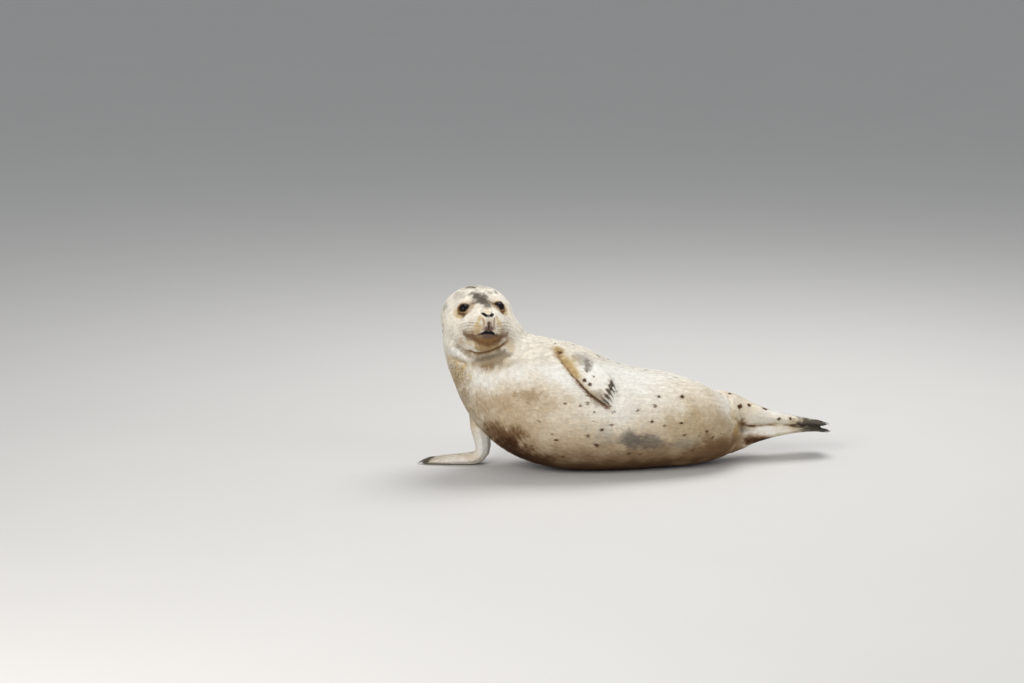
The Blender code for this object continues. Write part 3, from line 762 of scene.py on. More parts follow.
def painted(points, normals, tree):
    """Colour of the coat and the skin at points of the row, painted light and shade included."""
    place, spots = on_head(points), points / MM
    on_face = ramp(place[:, 0], -60, 10) * ramp(place[:, 2], -165, -120)
    broad, soft, fine = (waves(points, size, SEED + i) for i, size in enumerate((BROAD, SOFT, FINE)))
    colour = base_colour(points, normals, on_face, broad, soft, fine)
    ragged = 0.5 * soft + 0.4 * fine + 0.3 * waves(points, 0.005, SEED + 6)
    colour = blotted(colour, spots, BODY_MARKS, ragged)
    for line, width, paint, strength in BODY_LINES:
        away, _, _ = along_line(spots, line)
        colour = stain(colour, strength * bell(away, width) * np.clip(0.85 + 0.25 * fine, 0, 1), paint)
    for number in range(1, 6):
        claw = np.array(middle(f"fore_flipper_left_claw_{number}")) / MM
        away, along, _ = along_line(spots, (claw, claw + DIGIT_STREAK))
        colour = stain(colour, 0.95 * bell(away, STREAK_WIDTH) * ramp(along, 1.05, 0.5), DEEP_BROWN)
    for *fleck, size in FLECKS:
        away = np.linalg.norm(spots - fleck, axis=1)
        colour = stain(colour, 0.95 * ramp(away + 0.30 * size * fine, size * 1.6, size * 0.9), DEEP_BROWN)
    for *fleck, size in hidden_flecks(tree):
        near = np.flatnonzero(np.abs(points[:, 0] - fleck[0]) < 3 * size)
        away = np.linalg.norm(points[near] - fleck, axis=1)
        share = 0.6 * ramp(away + 0.4 * size * fine[near], size * 1.5, size * 0.5)
        colour[near] = stain(colour[near], share, SMOKE)
    # dark tips of the hind flippers, dark fur round the claws
    colour = stain(colour, 0.93 * ramp(points[:, 0] + 0.012 * fine + 0.01 * soft, 0.448, 0.492), SMOKE)
    reach = np.where(points[:, 2] > 0.15, 5.0, 9.5)
    colour = stain(colour, 0.88 * ramp(claw_distance(points) / MM + 2.5 * fine, reach, 0.2 * reach), SMOKE)
    ahead = np.flatnonzero((place[:, 0] > -40) & (place[:, 2] > -190))
    ragged = 0.5 * soft[ahead] + 0.7 * fine[ahead]
    colour[ahead] = face_painted(colour[ahead], place[ahead], on_face[ahead], ragged, tree)
    return colour


def face_painted(shade, spots, on_face, ragged, tree):
    """Adds the markings of the head, painted shade in its folds and openings among them, to the colours at
    its places.
    """
    freckle = waves(spots, 7, SEED + 5)
    shade = stain(shade, np.clip(0.06 + 0.10 * ragged, 0, 1) * on_face, GREY)
    shade = blotted(shade, spots, HEAD_MARKS, ragged + 0.35 * freckle)
    for side in SIDES:
        shade = pad_painted(shade, spots, side, tree)
    for line, width, paint, strength, both in HEAD_LINES:
        for run in runs_of(line, both, tree):
            away, along, _ = along_line(spots, on_head(run))
            fade = ramp(along, 1.08, 0.7) if both else faded(along)
            shade = stain(shade, strength * fade * ramp(away, width * 1.5, width * 0.5), paint)
    shade = opened(blotted(shade, spots, BARE_MARKS, ragged), spots)
    for side in SIDES:
        shade = eye_painted(shade, spots, side, ragged)
    return shade


def pad_painted(shade, spots, side, tree):
    """Adds the rows of whisker pits and the streaks at the corner of the mouth."""
    for row in PAD_ROWS:
        away, along, _ = along_line(spots, on_head(laid(on_muzzle(row, side), tree)))
        pits = 0.70 + 0.30 * np.cos(along * 2 * math.pi * WHISKERS_IN_ROW)
        share = 0.34 * bell(away, 1.2) * ramp(along, -0.1, 0.1) * ramp(along, 1.05, 0.7) * pits
        shade = stain(shade, share, BROWN)
    for run in np.linspace(*STREAK_FAN, STREAKS):
        away, along, _ = along_line(spots, on_head(laid(on_muzzle(run, side), tree)))
        share = bell(away, 1.1) * ramp(along, -0.05, 0.6) * ramp(along, 1.1, 0.9)
        shade = stain(shade, STREAK_STRENGTH[side] * share, DEEP_BROWN)
    return shade


def opened(shade, spots):
    """Paints shade into nostrils and mouth, from their edges to the bottom of their grooves."""
    squash = np.array((OPENING_DEPTH, 1, 1))
    for line, width, paint, strength in OPENINGS:
        for side in SIDES:
            away, along, _ = along_line(spots * squash, np.array(on_muzzle(line, side)) * squash)
            taper = 0.35 + 0.65 * ramp(along, 0, 0.7) if line is NOSTRIL else 1 - 0.35 * along
            shade = stain(shade, strength * ramp(away / (width * taper), 1.25, 0.75), paint)
    return shade


def eye_painted(shade, spots, side, ragged):
    """Adds an eye's golden glow, dark ring, pale lower rim, inner corner and black lids."""
    out, x, y, radius = slit_place(spots, side)
    close = ramp(radius, 36, 28)
    outer = ramp(x, 5, -9)
    rim = ramp(out, 1.04, 1.14) * ramp(out, 1.34, 1.22)
    layers = (
        (ramp(out + 0.12 * ragged, 2.4, 1.6) * (0.08 + 0.36 * outer), GOLD),
        (ramp(out, 1.60, 1.30) * (0.15 + 0.40 * outer), AMBER),
        (bell(out + 0.05 * ragged - 1.58, 0.13) * (0.30 + 0.55 * outer), DEEP_BROWN),
        (ramp(out, 1.32, 1.12), DEEP_BROWN),
        (0.40 * rim * ramp(x, -3, -8) * ramp(y, -2, -6), CREAM),
        (0.9 * bell(y, 1.9) * ramp(x, 11, 13) * ramp(x, 24, 17), BLACK),
        (ramp(out, 1.12, 1.02), BLACK),
    )
    for share, paint in layers:
        shade = stain(shade, share * close, paint)
    return shade


CLAW_REACH = 0.02


def claw_distance(points):
    """Distance in metres to the nearest claw, measured only close to the flippers' ends."""
    away = np.full(len(points), 1.0)
    tree = BVHTree.FromPolygons(*gathered(CLAWS))
    for flipper in FLIPPERS:
        boxes = np.array([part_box(claw) for claw in CLAWS if claw.startswith(flipper)])
        low, high = boxes[:, 0].min(axis=0) - CLAW_REACH, boxes[:, 1].max(axis=0) + CLAW_REACH
        for i in np.flatnonzero(((points > low) & (points < high)).all(axis=1)):
            away[i] = min(away[i], tree.find_nearest(points[i])[3])
    return away


# ---- the lie of the coat
NOSE = (124, 0, -14)
LIE_SMOOTHING = 24


def spans():
    """Lines that the coat follows: the backbone, then each flipper from shoulder or hip to its tip."""
    lines = {"trunk": [middle(node) for node in ("head", "neck", "chest", "abdomen", "hips", "tail")]}
    low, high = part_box("fore_flipper_left")
    across = (low.y + high.y) / 2
    lines["fore_flipper_left"] = [(low.x, across, high.z), (high.x, across, low.z)]
    low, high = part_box("fore_flipper_right")
    across = (low.y + high.y) / 2
    arm = high.x - 0.035
    bend = [(arm, across, 0.05), (arm - 0.03, across, 0.018)]
    lines["fore_flipper_right"] = [(arm, across, high.z), *bend, (low.x, across, 0.004)]
    for node in FLIPPERS[2:]:
        low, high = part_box(node)
        centre = (low + high) / 2
        lines[node] = [(low.x, centre.y - 0.03, centre.z), (high.x, high.y, centre.z)]
    return {name: np.array([tuple(p) for p in line]) for name, line in lines.items()}


def lie_of(mesh, owner):
    """The direction that the coat lies in at each vertex of the skin."""
    points, normal = points_of(mesh), normals_of(mesh)
    place = on_head(points)
    lines = spans()
    _, _, lie = along_line(points, lines["trunk"])
    from_nose = unit(place - NOSE) @ HEAD_AXES
    head = (ramp(place[:, 0], -70, 10) * ramp(place[:, 2], -170, -110))[:, None]
    lie = lie * (1 - head) + from_nose * head
    for node in FLIPPERS:
        mine = owner == FLESH.index(node)
        _, _, lie[mine] = along_line(points[mine], lines[node])
    return flattened(relaxed(flattened(lie, normal), edges_of(mesh), LIE_SMOOTHING), normal)


def owners(points):
    """Which fleshy node each point lies nearest to, as its number in FLESH."""
    tree = BVHTree.FromPolygons(*gathered(FLESH))
    counts = [len(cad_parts[node].data.polygons) for node in FLESH]
    node_of_face = np.repeat(np.arange(len(FLESH)), counts)
    return np.array([node_of_face[tree.find_nearest(p)[2]] for p in points])


def store(mesh, name, values):
    """Keeps a number at each vertex of a mesh for its material to read."""
    mesh.attributes.new(name, "FLOAT", "POINT").data.foreach_set("value", values.astype(np.float32))


def store_colour(mesh, rgba):
    """Keeps the markings on a mesh for its material to read."""
    attribute = mesh.attributes.new("tint", "FLOAT_COLOR", "POINT")
    attribute.data.foreach_set("color", np.ascontiguousarray(rgba, np.float32).ravel())


# ---- tufts
# how many grow on a square millimetre
DENSITY = {"head": 0.60, "neck": 0.40, "flipper": 0.55, "trunk": 0.31}
# a tuft's length, width and rise in millimetres
SIZE = {
    "head": (5.0, 0.85, 0.75),
    "neck": (8.5, 1.2, 1.5),
    "flipper": (5.0, 0.95, 0.5),
    "trunk": (10.0, 1.55, 1.7),
}
# how far, in millimetres, a tuft may stray from the edge of a marking
STRAY = {"head": 0.3, "neck": 1.2, "flipper": 0.4, "trunk": 0.8}
# its root, left and right sides and tip, in shares of its size, and how dark each is
TUFT = ((-0.10, 0, -0.5), (0.42, 0.5, 0.12), (0.42, -0.5, 0.12), (1, 0, 1))
TUFT_SHADE = (0.80, 0.95, 0.95, 1.06)
# the sizes of the coat's clumps and of the swirls in its lie, in metres
CLUMP = 0.012
SWIRL = 0.022
# no tuft reaches below this height over the floor
LOWEST = 0.25 * MM
# a tuft's own patch on the skin's unwrap, and the most tufts in one piece
BAKE_PATCH = 0.003
PIECE_TUFTS = 46000
GROUPS = {"head": "head", "neck": "neck", **{flipper: "flipper" for flipper in FLIPPERS}}
# the rough neck: its middle and reach in metres, and the share of its tufts that are stained
ROUGH_NECK = ((-0.452, -0.085, 0.235), (0.055, 0.085, 0.085))
STAINED = 0.38


def tuft_shape():
    """One tuft: a thin three-sided point whose root is under the skin, as corners and faces."""
    bm = bmesh.new()
    bmesh.ops.create_cone(bm, cap_ends=True, segments=3, radius1=1, radius2=0, depth=1)
    apex = max(bm.verts, key=lambda v: v.co.z)
    corners = [v for v in bm.verts if v is not apex] + [apex]
    for vert, place in zip(corners, TUFT):
        vert.co = place
    bm.normal_update()
    bmesh.ops.recalc_face_normals(bm, faces=bm.faces)
    if bm.calc_volume(signed=True) < 0:
        bmesh.ops.reverse_faces(bm, faces=bm.faces)
    for number, vert in enumerate(corners):
        vert.index = number
    outline = np.array([v.co[:] for v in corners])
    faces = np.array([[v.index for v in f.verts] for f in bm.faces])
    bm.free()
    return outline, faces


def triangle_arrays(mesh):
    """The corners of each triangle, and its area in square millimetres."""
    triangles = read(mesh.polygons, "vertices", 3, np.int32)
    a, b, c = points_of(mesh)[triangles.T]
    return triangles, np.linalg.norm(np.cross(b - a, c - a), axis=1) / 2 / MM**2


def unwrapped(mesh, faces, name):
    """The OFBake places of the corners of some of the skin's faces, from their own unwrap."""
    triangles, _ = triangle_arrays(mesh)
    used, corner = np.unique(triangles[faces], return_inverse=True)
    part = bpy.data.meshes.new(name)
    part.from_pydata(points_of(mesh)[used].tolist(), [], corner.reshape(-1, 3).tolist())
    obj = link(bpy.data.objects.new(name, part))
    bpy.context.view_layer.objects.active = obj
    obj.select_set(True)
    bpy.ops.object.mode_set(mode="EDIT")
    bpy.ops.mesh.select_all(action="SELECT")
    bpy.ops.uv.smart_project(angle_limit=math.radians(75), island_margin=0.004)
    bpy.ops.object.mode_set(mode="OBJECT")
    places = read(part.uv_layers.active.data, "uv", 2).reshape(-1, 3, 2)
    bpy.data.objects.remove(obj)
    bpy.data.meshes.remove(part)
    return places


def bare_share(points, normals):
    """1 where the coat grows fully, down to 0 on lids, nose, lips and claw beds."""
    place = on_head(points)
    share = np.ones(len(points))
    for side in SIDES:
        out, _, _, radius = slit_place(place, side)
        share *= np.where(radius < 26, ramp(out, 1.12, 1.30), 1)
    for middle_place, reach, *_ in BARE_MARKS:
        share *= ramp(np.linalg.norm((place - middle_place) / reach, axis=1), 0.75, 1.1)
    ahead = np.flatnonzero(place[:, 0] > 60)
    for line, width in ((NOSTRIL, 3.6), (MOUTH, 4.4)):
        for side in SIDES:
            away, _, _ = along_line(place[ahead], on_muzzle(line, side))
            share[ahead] *= ramp(away, width * 0.9, width * 1.4)
    share *= 1 - 0.55 * ((normals[:, 2] < -0.75) & (points[:, 2] < 0.02))
    return share


def scattered(rng, weight, count):
    """Picks count faces by weight, and a random place on each as shares of its three corners."""
    total = np.cumsum(weight)
    picked = np.searchsorted(total, (np.arange(count) + rng.random(count)) * total[-1] / count)
    first, second = rng.random((2, count))
    over = first + second > 1
    first[over], second[over] = 1 - first[over], 1 - second[over]
    share = np.stack([1 - first - second, first, second], axis=1)[:, :, None]
    return np.minimum(picked, len(weight) - 1), share


def tuft_normals(verts, faces, normal, along, across):
    """Soft shading on each tuft's outer faces and its own flat faces underneath."""
    tilted = (normal, normal + 0.4 * across, normal - 0.4 * across, normal + 0.1 * along)
    soft = np.stack([unit(tilt) for tilt in tilted], axis=1)
    a, b, c = np.moveaxis(verts.reshape(-1, 4, 3)[:, faces], 2, 0)
    flat = unit(np.cross(b - a, c - a))[:, :, None]
    outer = (flat * normal[:, None, None]).sum(axis=3, keepdims=True) > 0.05
    return np.where(outer, soft[:, faces], flat).reshape(-1, 3)


def mesh_of(name, verts, triangles):
    """A mesh of the given triangles, quickly."""
    part = bpy.data.meshes.new(name)
    part.vertices.add(len(verts))
    part.vertices.foreach_set("co", verts.ravel())
    part.loops.add(triangles.size)
    part.loops.foreach_set("vertex_index", triangles.ravel())
    part.polygons.add(len(triangles))
    part.polygons.foreach_set("loop_start", np.arange(len(triangles)) * 3)
    part.update(calc_edges=True)
    return part


def coat_piece(name, mesh, faces, count, style, fields, shape, seed):
    """One joined mesh of tufts rooted on some of the skin's faces."""
    rng = np.random.default_rng(seed)
    outline, sides = shape
    triangles, area = triangle_arrays(mesh)
    picked, share = scattered(rng, area[faces] * fields["share"][triangles[faces]].mean(axis=1), count)
    corners = triangles[faces][picked]
    root, normal, lie = ((fields[key][corners] * share).sum(axis=1) for key in ("points", "normals", "lie"))
    rough, small = ((fields[key][corners] * share[:, :, 0]).sum(axis=1) for key in ("rough", "small"))
    normal = unit(normal)
    lie = flattened(lie, normal)
    side = np.cross(normal, lie)
    turn = rng.normal(0, 0.13, count) + 0.16 * waves(root, SWIRL, SEED + 20)
    turn += 0.32 * rough * waves(root, SWIRL, SEED + 21)
    along = lie * np.cos(turn)[:, None] + side * np.sin(turn)[:, None]
    across = np.cross(normal, along)
    clump = waves(root, CLUMP, SEED + 22)
    length = small * (1 + rng.normal(0, 0.16, count) + 0.12 * clump + 0.55 * rough)
    width = np.sqrt(small) * (1 + rng.normal(0, 0.15, count) + 0.15 * rough)
    rise = small * np.clip(0.8 + rng.normal(0, 0.30, count) + 0.22 * clump + 0.9 * rough, 0.25, 2.6)
    size = np.stack([length, width, rise], axis=1) * SIZE[style] * MM
    axes = np.stack([along, across, normal], axis=1)
    verts = (root[:, None] + (outline * size[:, None]) @ axes).reshape(-1, 3)
    verts[:, 2] = np.maximum(verts[:, 2], LOWEST)
    order = (np.arange(count)[:, None, None] * 4 + sides).reshape(-1, 3)
    part = mesh_of(name, verts, order)

    root_place = (unwrapped(mesh, faces, name)[picked] * share).sum(axis=1)
    patch = (outline[:, :2] - (0.45, 0)) * BAKE_PATCH
    places = (root_place[:, None] + patch).reshape(-1, 2)[order.ravel()]
    part.uv_layers.new(name="OFBake").data.foreach_set("uv", np.clip(places, 0, 1).ravel())

    colour = painted(root + rng.normal(0, STRAY[style] * MM, (count, 3)), normal, fields["tree"])
    colour *= 1 + rng.normal(0, 0.08, (count, 1)) + 0.07 * clump[:, None]
    colour = stain(colour, rough * np.where(rng.random(count) < STAINED, 0.50, 0.04), AMBER)
    rgba = np.ones((count, 4, 4))
    rgba[:, :, :3] = np.clip(colour[:, None] * np.array(TUFT_SHADE)[:, None], 0, 0.95)
    store_colour(part, rgba)
    part.polygons.foreach_set("use_smooth", np.ones(len(order), bool))
    part.normals_split_custom_set(tuft_normals(verts, sides, normal, along, across))
    return link(bpy.data.objects.new(name, part))


def add_coat(skin):
    """The coat's pieces, each with the finish it takes."""
    mesh = skin.data
    points, normals = points_of(mesh), normals_of(mesh)
    owner = owners(points)
    claws = claw_distance(points)
    neck, reach = ROUGH_NECK
    rough = ramp(np.linalg.norm((points - neck) / reach, axis=1), 1.25, 0.5)
    near_nose, near_claw = ramp(off_muzzle(on_head(points)), 1.5, 0.7), ramp(claws, 0.012, 0.003)
    fields = {
        "points": points,
        "normals": normals,
        "lie": lie_of(mesh, owner),
        "share": bare_share(points, normals),
        "rough": rough * ramp(points[:, 2], 0.10, 0.14),
        "small": (1 - 0.45 * near_nose) * (1 - 0.45 * near_claw),
        "tree": tree_of(mesh),
    }
    triangles, area = triangle_arrays(mesh)
    votes = owner[triangles]
    face_owner = np.where(votes[:, 1] == votes[:, 2], votes[:, 1], votes[:, 0])
    shape = tuft_shape()
    pieces = []
    for number, node in enumerate(FLESH):
        style = GROUPS.get(node, "trunk")
        faces = np.flatnonzero(face_owner == number)
        weight = area[faces] * fields["share"][triangles[faces]].mean(axis=1)
        wanted = int(weight.sum() * DENSITY[style])
        parts = math.ceil(wanted / PIECE_TUFTS)
        spread = points[triangles[faces]].mean(axis=1) @ np.array(LEFT if node == "head" else (1, 0, 0))
        order = np.argsort(spread)
        edge = np.searchsorted(np.cumsum(weight[order]), np.linspace(0, weight.sum(), parts + 1)[1:-1])
        for k, chunk in enumerate(np.split(faces[order], edge)):
            name = f"coat_{node}" if parts == 1 else f"coat_{node}_{k + 1}"
            seed = SEED + 100 * number + k
            piece = coat_piece(name, mesh, chunk, wanted // parts, style, fields, shape, seed)
            pieces.append((piece, "flipper" if node in FLIPPERS else "pelt"))
    return pieces


# ---- eyes and whiskers
# how far the front of the eye bulges, and the angle that the bulge spans
CORNEA = 1.0 * MM
CORNEA_ANGLE = 0.5


def add_eye(side):
    """A smooth ball with a slight bulge where it looks out."""
    bm = bmesh.new()
    bmesh.ops.create_uvsphere(bm, u_segments=64, v_segments=48, radius=EYE_RADIUS)
    gaze = Vector(eye_axes(side)[0] @ HEAD_AXES)
    bmesh.ops.rotate(bm, cent=(0, 0, 0), matrix=gaze.to_track_quat("Z", "Y").to_matrix(), verts=bm.verts)
    for vert in bm.verts:
        outward = vert.co.normalized()
        vert.co += outward * CORNEA * math.exp(-((outward.angle(gaze) / CORNEA_ANGLE) ** 2))
    bmesh.ops.translate(bm, vec=EYE_CENTRES[side], verts=bm.verts)
    for face in bm.faces:
        face.smooth = True
    eye = made(bm, "eyeball_left" if side == 1 else "eyeball_right")
    place = on_head(points_of(eye.data)) - EYE_SPOTS[side]
    angle = np.arccos(np.clip(unit(place) @ eye_axes(side)[0], -1, 1))
    store(eye.data, "iris", ramp(angle, 0.40, 0.46) * ramp(angle, 0.80, 0.72))
    return eye


BROW = ((60, 36, 42), (56, 44, 46), (54, 40, 50))
WHISKER_SIDES = 5
WHISKER_STEPS = 7
# a whisker's tip as a share of its root, and how deep its root goes in
WHISKER_TIP = 0.12
ROOT_DEPTH = 2 * MM


def whisker(bm, root, heading, droop, length, thickness):
    """A tapered hair with a round section, bent by droop over its length."""
    ring = bmesh.ops.create_circle(bm, segments=WHISKER_SIDES, radius=thickness, cap_ends=True)["verts"]
    face = ring[0].link_faces[0]
    turn = heading.to_track_quat("Z", "Y").to_matrix()
    bmesh.ops.rotate(bm, cent=(0, 0, 0), matrix=turn, verts=ring)
    bmesh.ops.translate(bm, vec=root - heading * ROOT_DEPTH, verts=ring)
    axis = heading
    for step in range(1, WHISKER_STEPS + 1):
        # the face's edges go with it, or it would stay behind as a cap inside the hair
        out = bmesh.ops.extrude_face_region(bm, geom=[face, *face.edges])["geom"]
        face = next(g for g in out if isinstance(g, bmesh.types.BMFace))
        ring = list(face.verts)
        axis = (axis + droop / WHISKER_STEPS).normalized()
        bmesh.ops.translate(bm, vec=axis * length / WHISKER_STEPS, verts=ring)
        share = 1 - step / WHISKER_STEPS
        middle_point = face.calc_center_median()
        scale = (share + WHISKER_TIP) / (share + 1 / WHISKER_STEPS + WHISKER_TIP)
        for vert in ring:
            vert.co = middle_point + (vert.co - middle_point) * scale


def head_vector(forward, left, up):
    """A direction of the head as a direction of the row."""
    return Vector(np.array((forward, left, up)) @ HEAD_AXES)


def add_whiskers(skin, side):
    """The whiskers of one side of the muzzle and the hairs over that eye."""
    rng = np.random.default_rng(SEED + 7 + side)
    tree = tree_of(skin.data)
    bm = bmesh.new()
    for row, (start, end) in enumerate(PAD_ROWS):
        line = laid(on_muzzle((start, end), side), tree)
        for k in range(WHISKERS_IN_ROW):
            place, normal, _, _ = tree.find_nearest(Vector(line[int((0.06 + 0.2 * k) * (len(line) - 1))]))
            back = head_vector(-0.55 - 0.1 * k, side, -0.28 - 0.06 * row).normalized()
            heading = (normal * 0.75 + back).normalized()
            droop = head_vector(-0.55, 0, -0.35) * rng.uniform(0.7, 1.2)
            length = (16 + 9 * k + 2.2 * row) * rng.uniform(0.85, 1.15) * MM
            whisker(bm, place, heading, droop, length, (0.26 + 0.03 * k) * MM)
    for spot in mirrored(BROW, side):
        place, normal, _, _ = tree.find_nearest(Vector(from_head(spot)))
        heading = (normal * 0.7 + head_vector(-0.2, side * 0.5, 0.7)).normalized()
        whisker(bm, place, heading, Vector((0, 0, -0.4)), rng.uniform(14, 24) * MM, 0.22 * MM)
    bmesh.ops.recalc_face_normals(bm, faces=bm.faces)
    for face in bm.faces:
        face.smooth = True
    return made(bm, "whiskers_left" if side == 1 else "whiskers_right")


# ---- materials
class Nodes:
    """A small hand for wiring a node tree."""

    def __init__(self, tree):
        self.tree = tree

    def join(self, value, socket):
        if isinstance(value, bpy.types.NodeSocket):
            self.tree.links.new(value, socket)
        else:
            socket.default_value = value

    def fill(self, node, **inputs):
        """Sets or links a node's inputs by name, with _ for a space."""
        for key, value in inputs.items():
            self.join(value, node.inputs[key.replace("_", " ")])
        return node

    def add(self, kind, settings=None, **inputs):
        node = self.tree.nodes.new(kind)
        for key, value in (settings or {}).items():
            setattr(node, key, value)
        return self.fill(node, **inputs)

    def place(self):
        return self.add("ShaderNodeTexCoord").outputs["Object"]

    def read(self, name, output):
        return self.add("ShaderNodeAttribute", {"attribute_name": name}).outputs[output]

    def noise(self, vector, size, detail=3.0):
        """Noise whose features are about size metres."""
        grain = self.add("ShaderNodeTexNoise", Vector=vector, Scale=1 / size, Detail=detail, Roughness=0.55)
        return grain.outputs["Fac"]

    def maths(self, operation, *values):
        node = self.add("ShaderNodeMath", {"operation": operation})
        for value, socket in zip(values, node.inputs):
            self.join(value, socket)
        return node.outputs[0]

    def mix(self, factor, first, second, kind="MIX"):
        """Two colours mixed by a factor."""
        node = self.add("ShaderNodeMix", {"data_type": "RGBA", "blend_type": kind}, Factor=factor)
        self.join(first, node.inputs[6])
        self.join(second, node.inputs[7])
        return node.outputs[2]

    def bump(self, height, strength, distance):
        return self.add("ShaderNodeBump", Height=height, Strength=strength, Distance=distance).outputs[0]


def group(name, ins, outs):
    """A node group with named inputs and outputs."""
    tree = bpy.data.node_groups.new(name, "ShaderNodeTree")
    for kinds, direction in ((ins, "INPUT"), (outs, "OUTPUT")):
        for label, (kind, value) in kinds.items():
            socket = tree.interface.new_socket(label, in_out=direction, socket_type="NodeSocket" + kind)
            if value is not None:
                socket.default_value = value
    nodes = Nodes(tree)
    return tree, nodes, nodes.add("NodeGroupInput").outputs, nodes.add("NodeGroupOutput")


# dust in the coat, and the sizes in metres of single hairs, of their clumps and of dusty patches
DUST = (0.74, 0.62, 0.46, 1)
HAIR, LOCK, PATCH = 0.0016, 0.009, 0.07
# how dusty the pelt is
GRIMY = 0.22


def hair_grain():
    """Fine variation of colour, gloss and height as in short damp hair."""
    tree, nodes, given, out = group(
        "hair grain",
        {"Color": ("Color", None), "Strength": ("Float", 1.0), "Grime": ("Float", 0.2)},
        {"Color": ("Color", None), "Roughness": ("Float", None), "Height": ("Float", None)},
    )
    place = nodes.place()
    fine, middling, broad = (
        nodes.noise(place, size, detail) for size, detail in ((HAIR, 2.0), (LOCK, 4.0), (PATCH, 4.0))
    )
    shade = nodes.maths("MULTIPLY_ADD", fine, 0.22, 0.89)
    shade = nodes.maths("MULTIPLY", shade, nodes.maths("MULTIPLY_ADD", middling, 0.20, 0.90))
    grey = nodes.add("ShaderNodeCombineColor", Red=shade, Green=shade, Blue=shade).outputs[0]
    hairs = nodes.mix(given["Strength"], given["Color"], grey, "MULTIPLY")
    patchy = nodes.add("ShaderNodeMapRange", {"interpolation_type": "SMOOTHSTEP"}, Value=broad)
    nodes.fill(patchy, From_Min=0.5, From_Max=0.75)
    grime = nodes.maths("MULTIPLY", patchy.outputs[0], given["Grime"])
    nodes.fill(
        out,
        Color=nodes.mix(grime, hairs, DUST, "MULTIPLY"),
        Roughness=nodes.maths("MULTIPLY_ADD", middling, 0.24, 0.58),
        Height=nodes.maths("MULTIPLY_ADD", middling, 0.6, fine),
    )
    return tree


def material(name):
    """A new material, its node hand and its Principled shader."""
    found = bpy.data.materials.new(name)
    found.use_nodes = True
    return found, Nodes(found.node_tree), found.node_tree.nodes["Principled BSDF"]


def pelt_material(name, grain, strength, bump):
    """Skin or coat: the painted markings with the grain of hair over them."""
    found, nodes, shader = material(name)
    hair = nodes.add("ShaderNodeGroup", {"node_tree": grain}, Strength=strength, Grime=GRIMY)
    hair = nodes.fill(hair, Color=nodes.read("tint", "Color")).outputs
    relief = nodes.bump(hair["Height"], bump, 0.0006)
    nodes.fill(shader, Base_Color=hair["Color"], Roughness=hair["Roughness"], Normal=relief)
    nodes.fill(shader, Specular_IOR_Level=0.10)
    return found


def eye_material():
    """A nearly black wet eye with a faint brown iris."""
    found, nodes, shader = material("eye_dark")
    streaks = nodes.maths("MULTIPLY", nodes.read("iris", "Fac"), nodes.noise(nodes.place(), 0.0014))
    brown = nodes.mix(streaks, (0.004, 0.0035, 0.0035, 1), (0.020, 0.010, 0.005, 1))
    nodes.fill(shader, Base_Color=brown, Roughness=0.09, Specular_IOR_Level=0.10)
    return found


def horn_material(name, dark, pale):
    """Claws and whiskers: streaked horn."""
    found, nodes, shader = material(name)
    place = nodes.place()
    horn = nodes.add("ShaderNodeValToRGB", Fac=nodes.noise(place, 0.003, 4.0))
    for stop, position, colour in zip(horn.color_ramp.elements, (0.35, 0.72), (dark, pale)):
        stop.position = position
        stop.color = (*colour, 1)
    relief = nodes.bump(nodes.noise(place, 0.0008), 0.3, 0.0002)
    nodes.fill(shader, Base_Color=horn.outputs[0], Normal=relief, Roughness=0.38)
    return found


# ---- the studio
FLOOR_SIZE = 40
FLOOR_COLOUR = (0.56, 0.55, 0.535)
# lamps: where, how wide, how strong, colour
LAMPS = (
    ((0.5, 1.1, 3.2), 2.2, 86, (1.0, 0.99, 0.97)),
    ((-1.9, -3.2, 2.2), 2.4, 104, (1.0, 0.97, 0.93)),
    ((2.8, -2.4, 1.9), 2.4, 26, (1.0, 0.98, 0.96)),
)
SKY = (0.84, 0.87, 0.90, 1)
SKY_STRENGTH = 0.48
LAMP_TARGET = Vector((0, 0, 0.2))

# the camera looks down by this angle at this point, from this far
VIEW_HEIGHT = math.radians(11)
VIEW_POINT = Vector((-0.3003, -0.0145, 0.3351))
VIEW_DISTANCE = 8.0
LENS = 108.17
SENSOR = 36


def add_camera():
    """A long lens that looks down a little on the seal."""
    data = bpy.data.cameras.new("camera")
    data.lens = LENS
    data.sensor_width = SENSOR
    data.clip_end = 60
    camera = link(bpy.data.objects.new("camera", data))
    back = Vector((0, -math.cos(VIEW_HEIGHT), math.sin(VIEW_HEIGHT)))
    camera.location = VIEW_POINT + back * VIEW_DISTANCE
    camera.rotation_euler = back.to_track_quat("Z", "Y").to_euler()
    bpy.context.scene.camera = camera
    bpy.context.scene.view_settings.view_transform = "Standard"


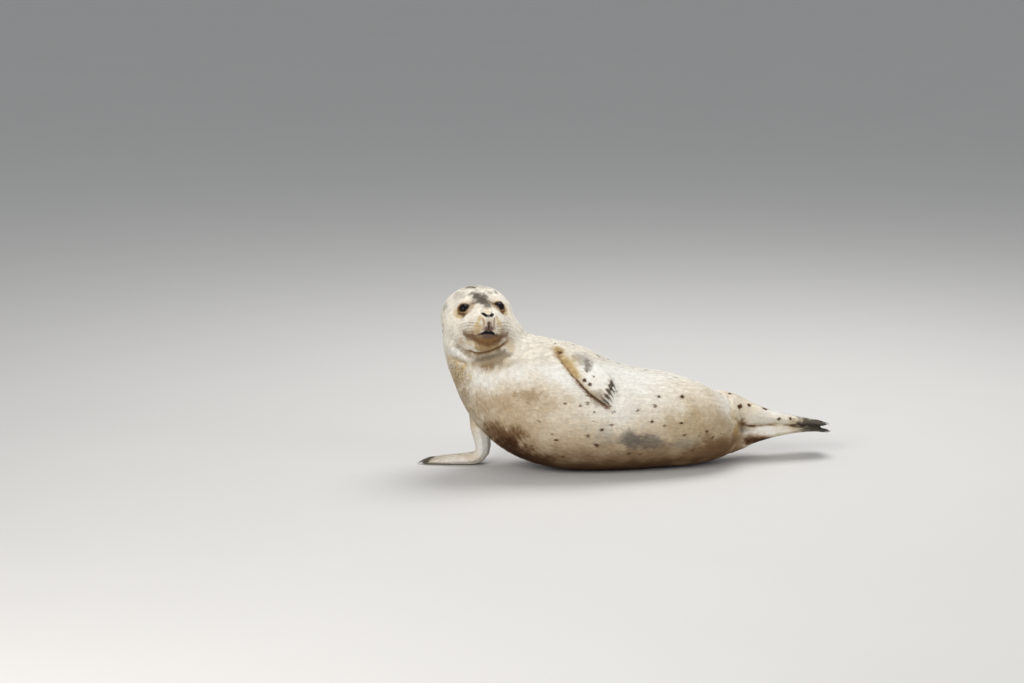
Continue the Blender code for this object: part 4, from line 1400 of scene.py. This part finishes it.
def add_lamps():
    """Three round softboxes and a pale sky."""
    for number, (place, width, power, colour) in enumerate(LAMPS):
        data = bpy.data.lights.new(f"softbox_{number + 1}", "AREA")
        data.shape, data.size, data.energy, data.color = "DISK", width, power, colour
        lamp = link(bpy.data.objects.new(data.name, data))
        lamp.location = place
        lamp.rotation_euler = (Vector(place) - LAMP_TARGET).to_track_quat("Z", "Y").to_euler()
    world = bpy.data.worlds.new("studio")
    world.use_nodes = True
    background = world.node_tree.nodes["Background"]
    background.inputs["Color"].default_value = SKY
    background.inputs["Strength"].default_value = SKY_STRENGTH
    bpy.context.scene.world = world


def add_floor():
    """A plain pale floor with a faint mottle."""
    bm = bmesh.new()
    bmesh.ops.create_grid(bm, x_segments=8, y_segments=8, size=FLOOR_SIZE / 2)
    floor = made(bm, "floor")
    found, nodes, shader = material("studio_floor")
    paler = tuple(c * 1.04 for c in FLOOR_COLOUR)
    mottle = nodes.mix(nodes.noise(nodes.place(), 0.6), (*FLOOR_COLOUR, 1), (*paler, 1))
    nodes.fill(shader, Base_Color=mottle, Roughness=0.75)
    floor.data.materials.append(found)


# ---- the seal
# the skin is a little darker than the coat over it
SKIN_SHADE = 0.94

grain = hair_grain()
skin = base_skin()
sculpt(skin)
coat = add_coat(skin)

tint = np.ones((len(skin.data.vertices), 4))
tint[:, :3] = painted(points_of(skin.data), normals_of(skin.data), tree_of(skin.data)) * SKIN_SHADE
store_colour(skin.data, tint)
skin.data.shade_smooth()
skin.data.materials.append(pelt_material("pelt_skin", grain, 0.8, 0.5))
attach(skin, BODY)
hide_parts(*FLESH)

coat_material = pelt_material("pelt_coat", grain, 0.6, 0.15)
for piece, finish in coat:
    piece.data.materials.append(coat_material)
    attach(piece, BODY)

dark_eye = eye_material()
for side, node in zip(SIDES, EYES):
    eye = add_eye(side)
    eye.data.materials.append(dark_eye)
    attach(eye, BODY)
    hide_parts(node)

whisker_horn = horn_material("whisker_horn", (0.20, 0.14, 0.09), (0.50, 0.42, 0.32))
for side in SIDES:
    hairs = add_whiskers(skin, side)
    hairs.data.materials.append(whisker_horn)
    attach(hairs, BODY)

claw_horn = horn_material("claw_horn", (0.030, 0.024, 0.020), (0.16, 0.12, 0.085))
for name in CLAWS:
    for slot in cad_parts[name].material_slots:
        slot.material = claw_horn

add_camera()
add_lamps()
add_floor()
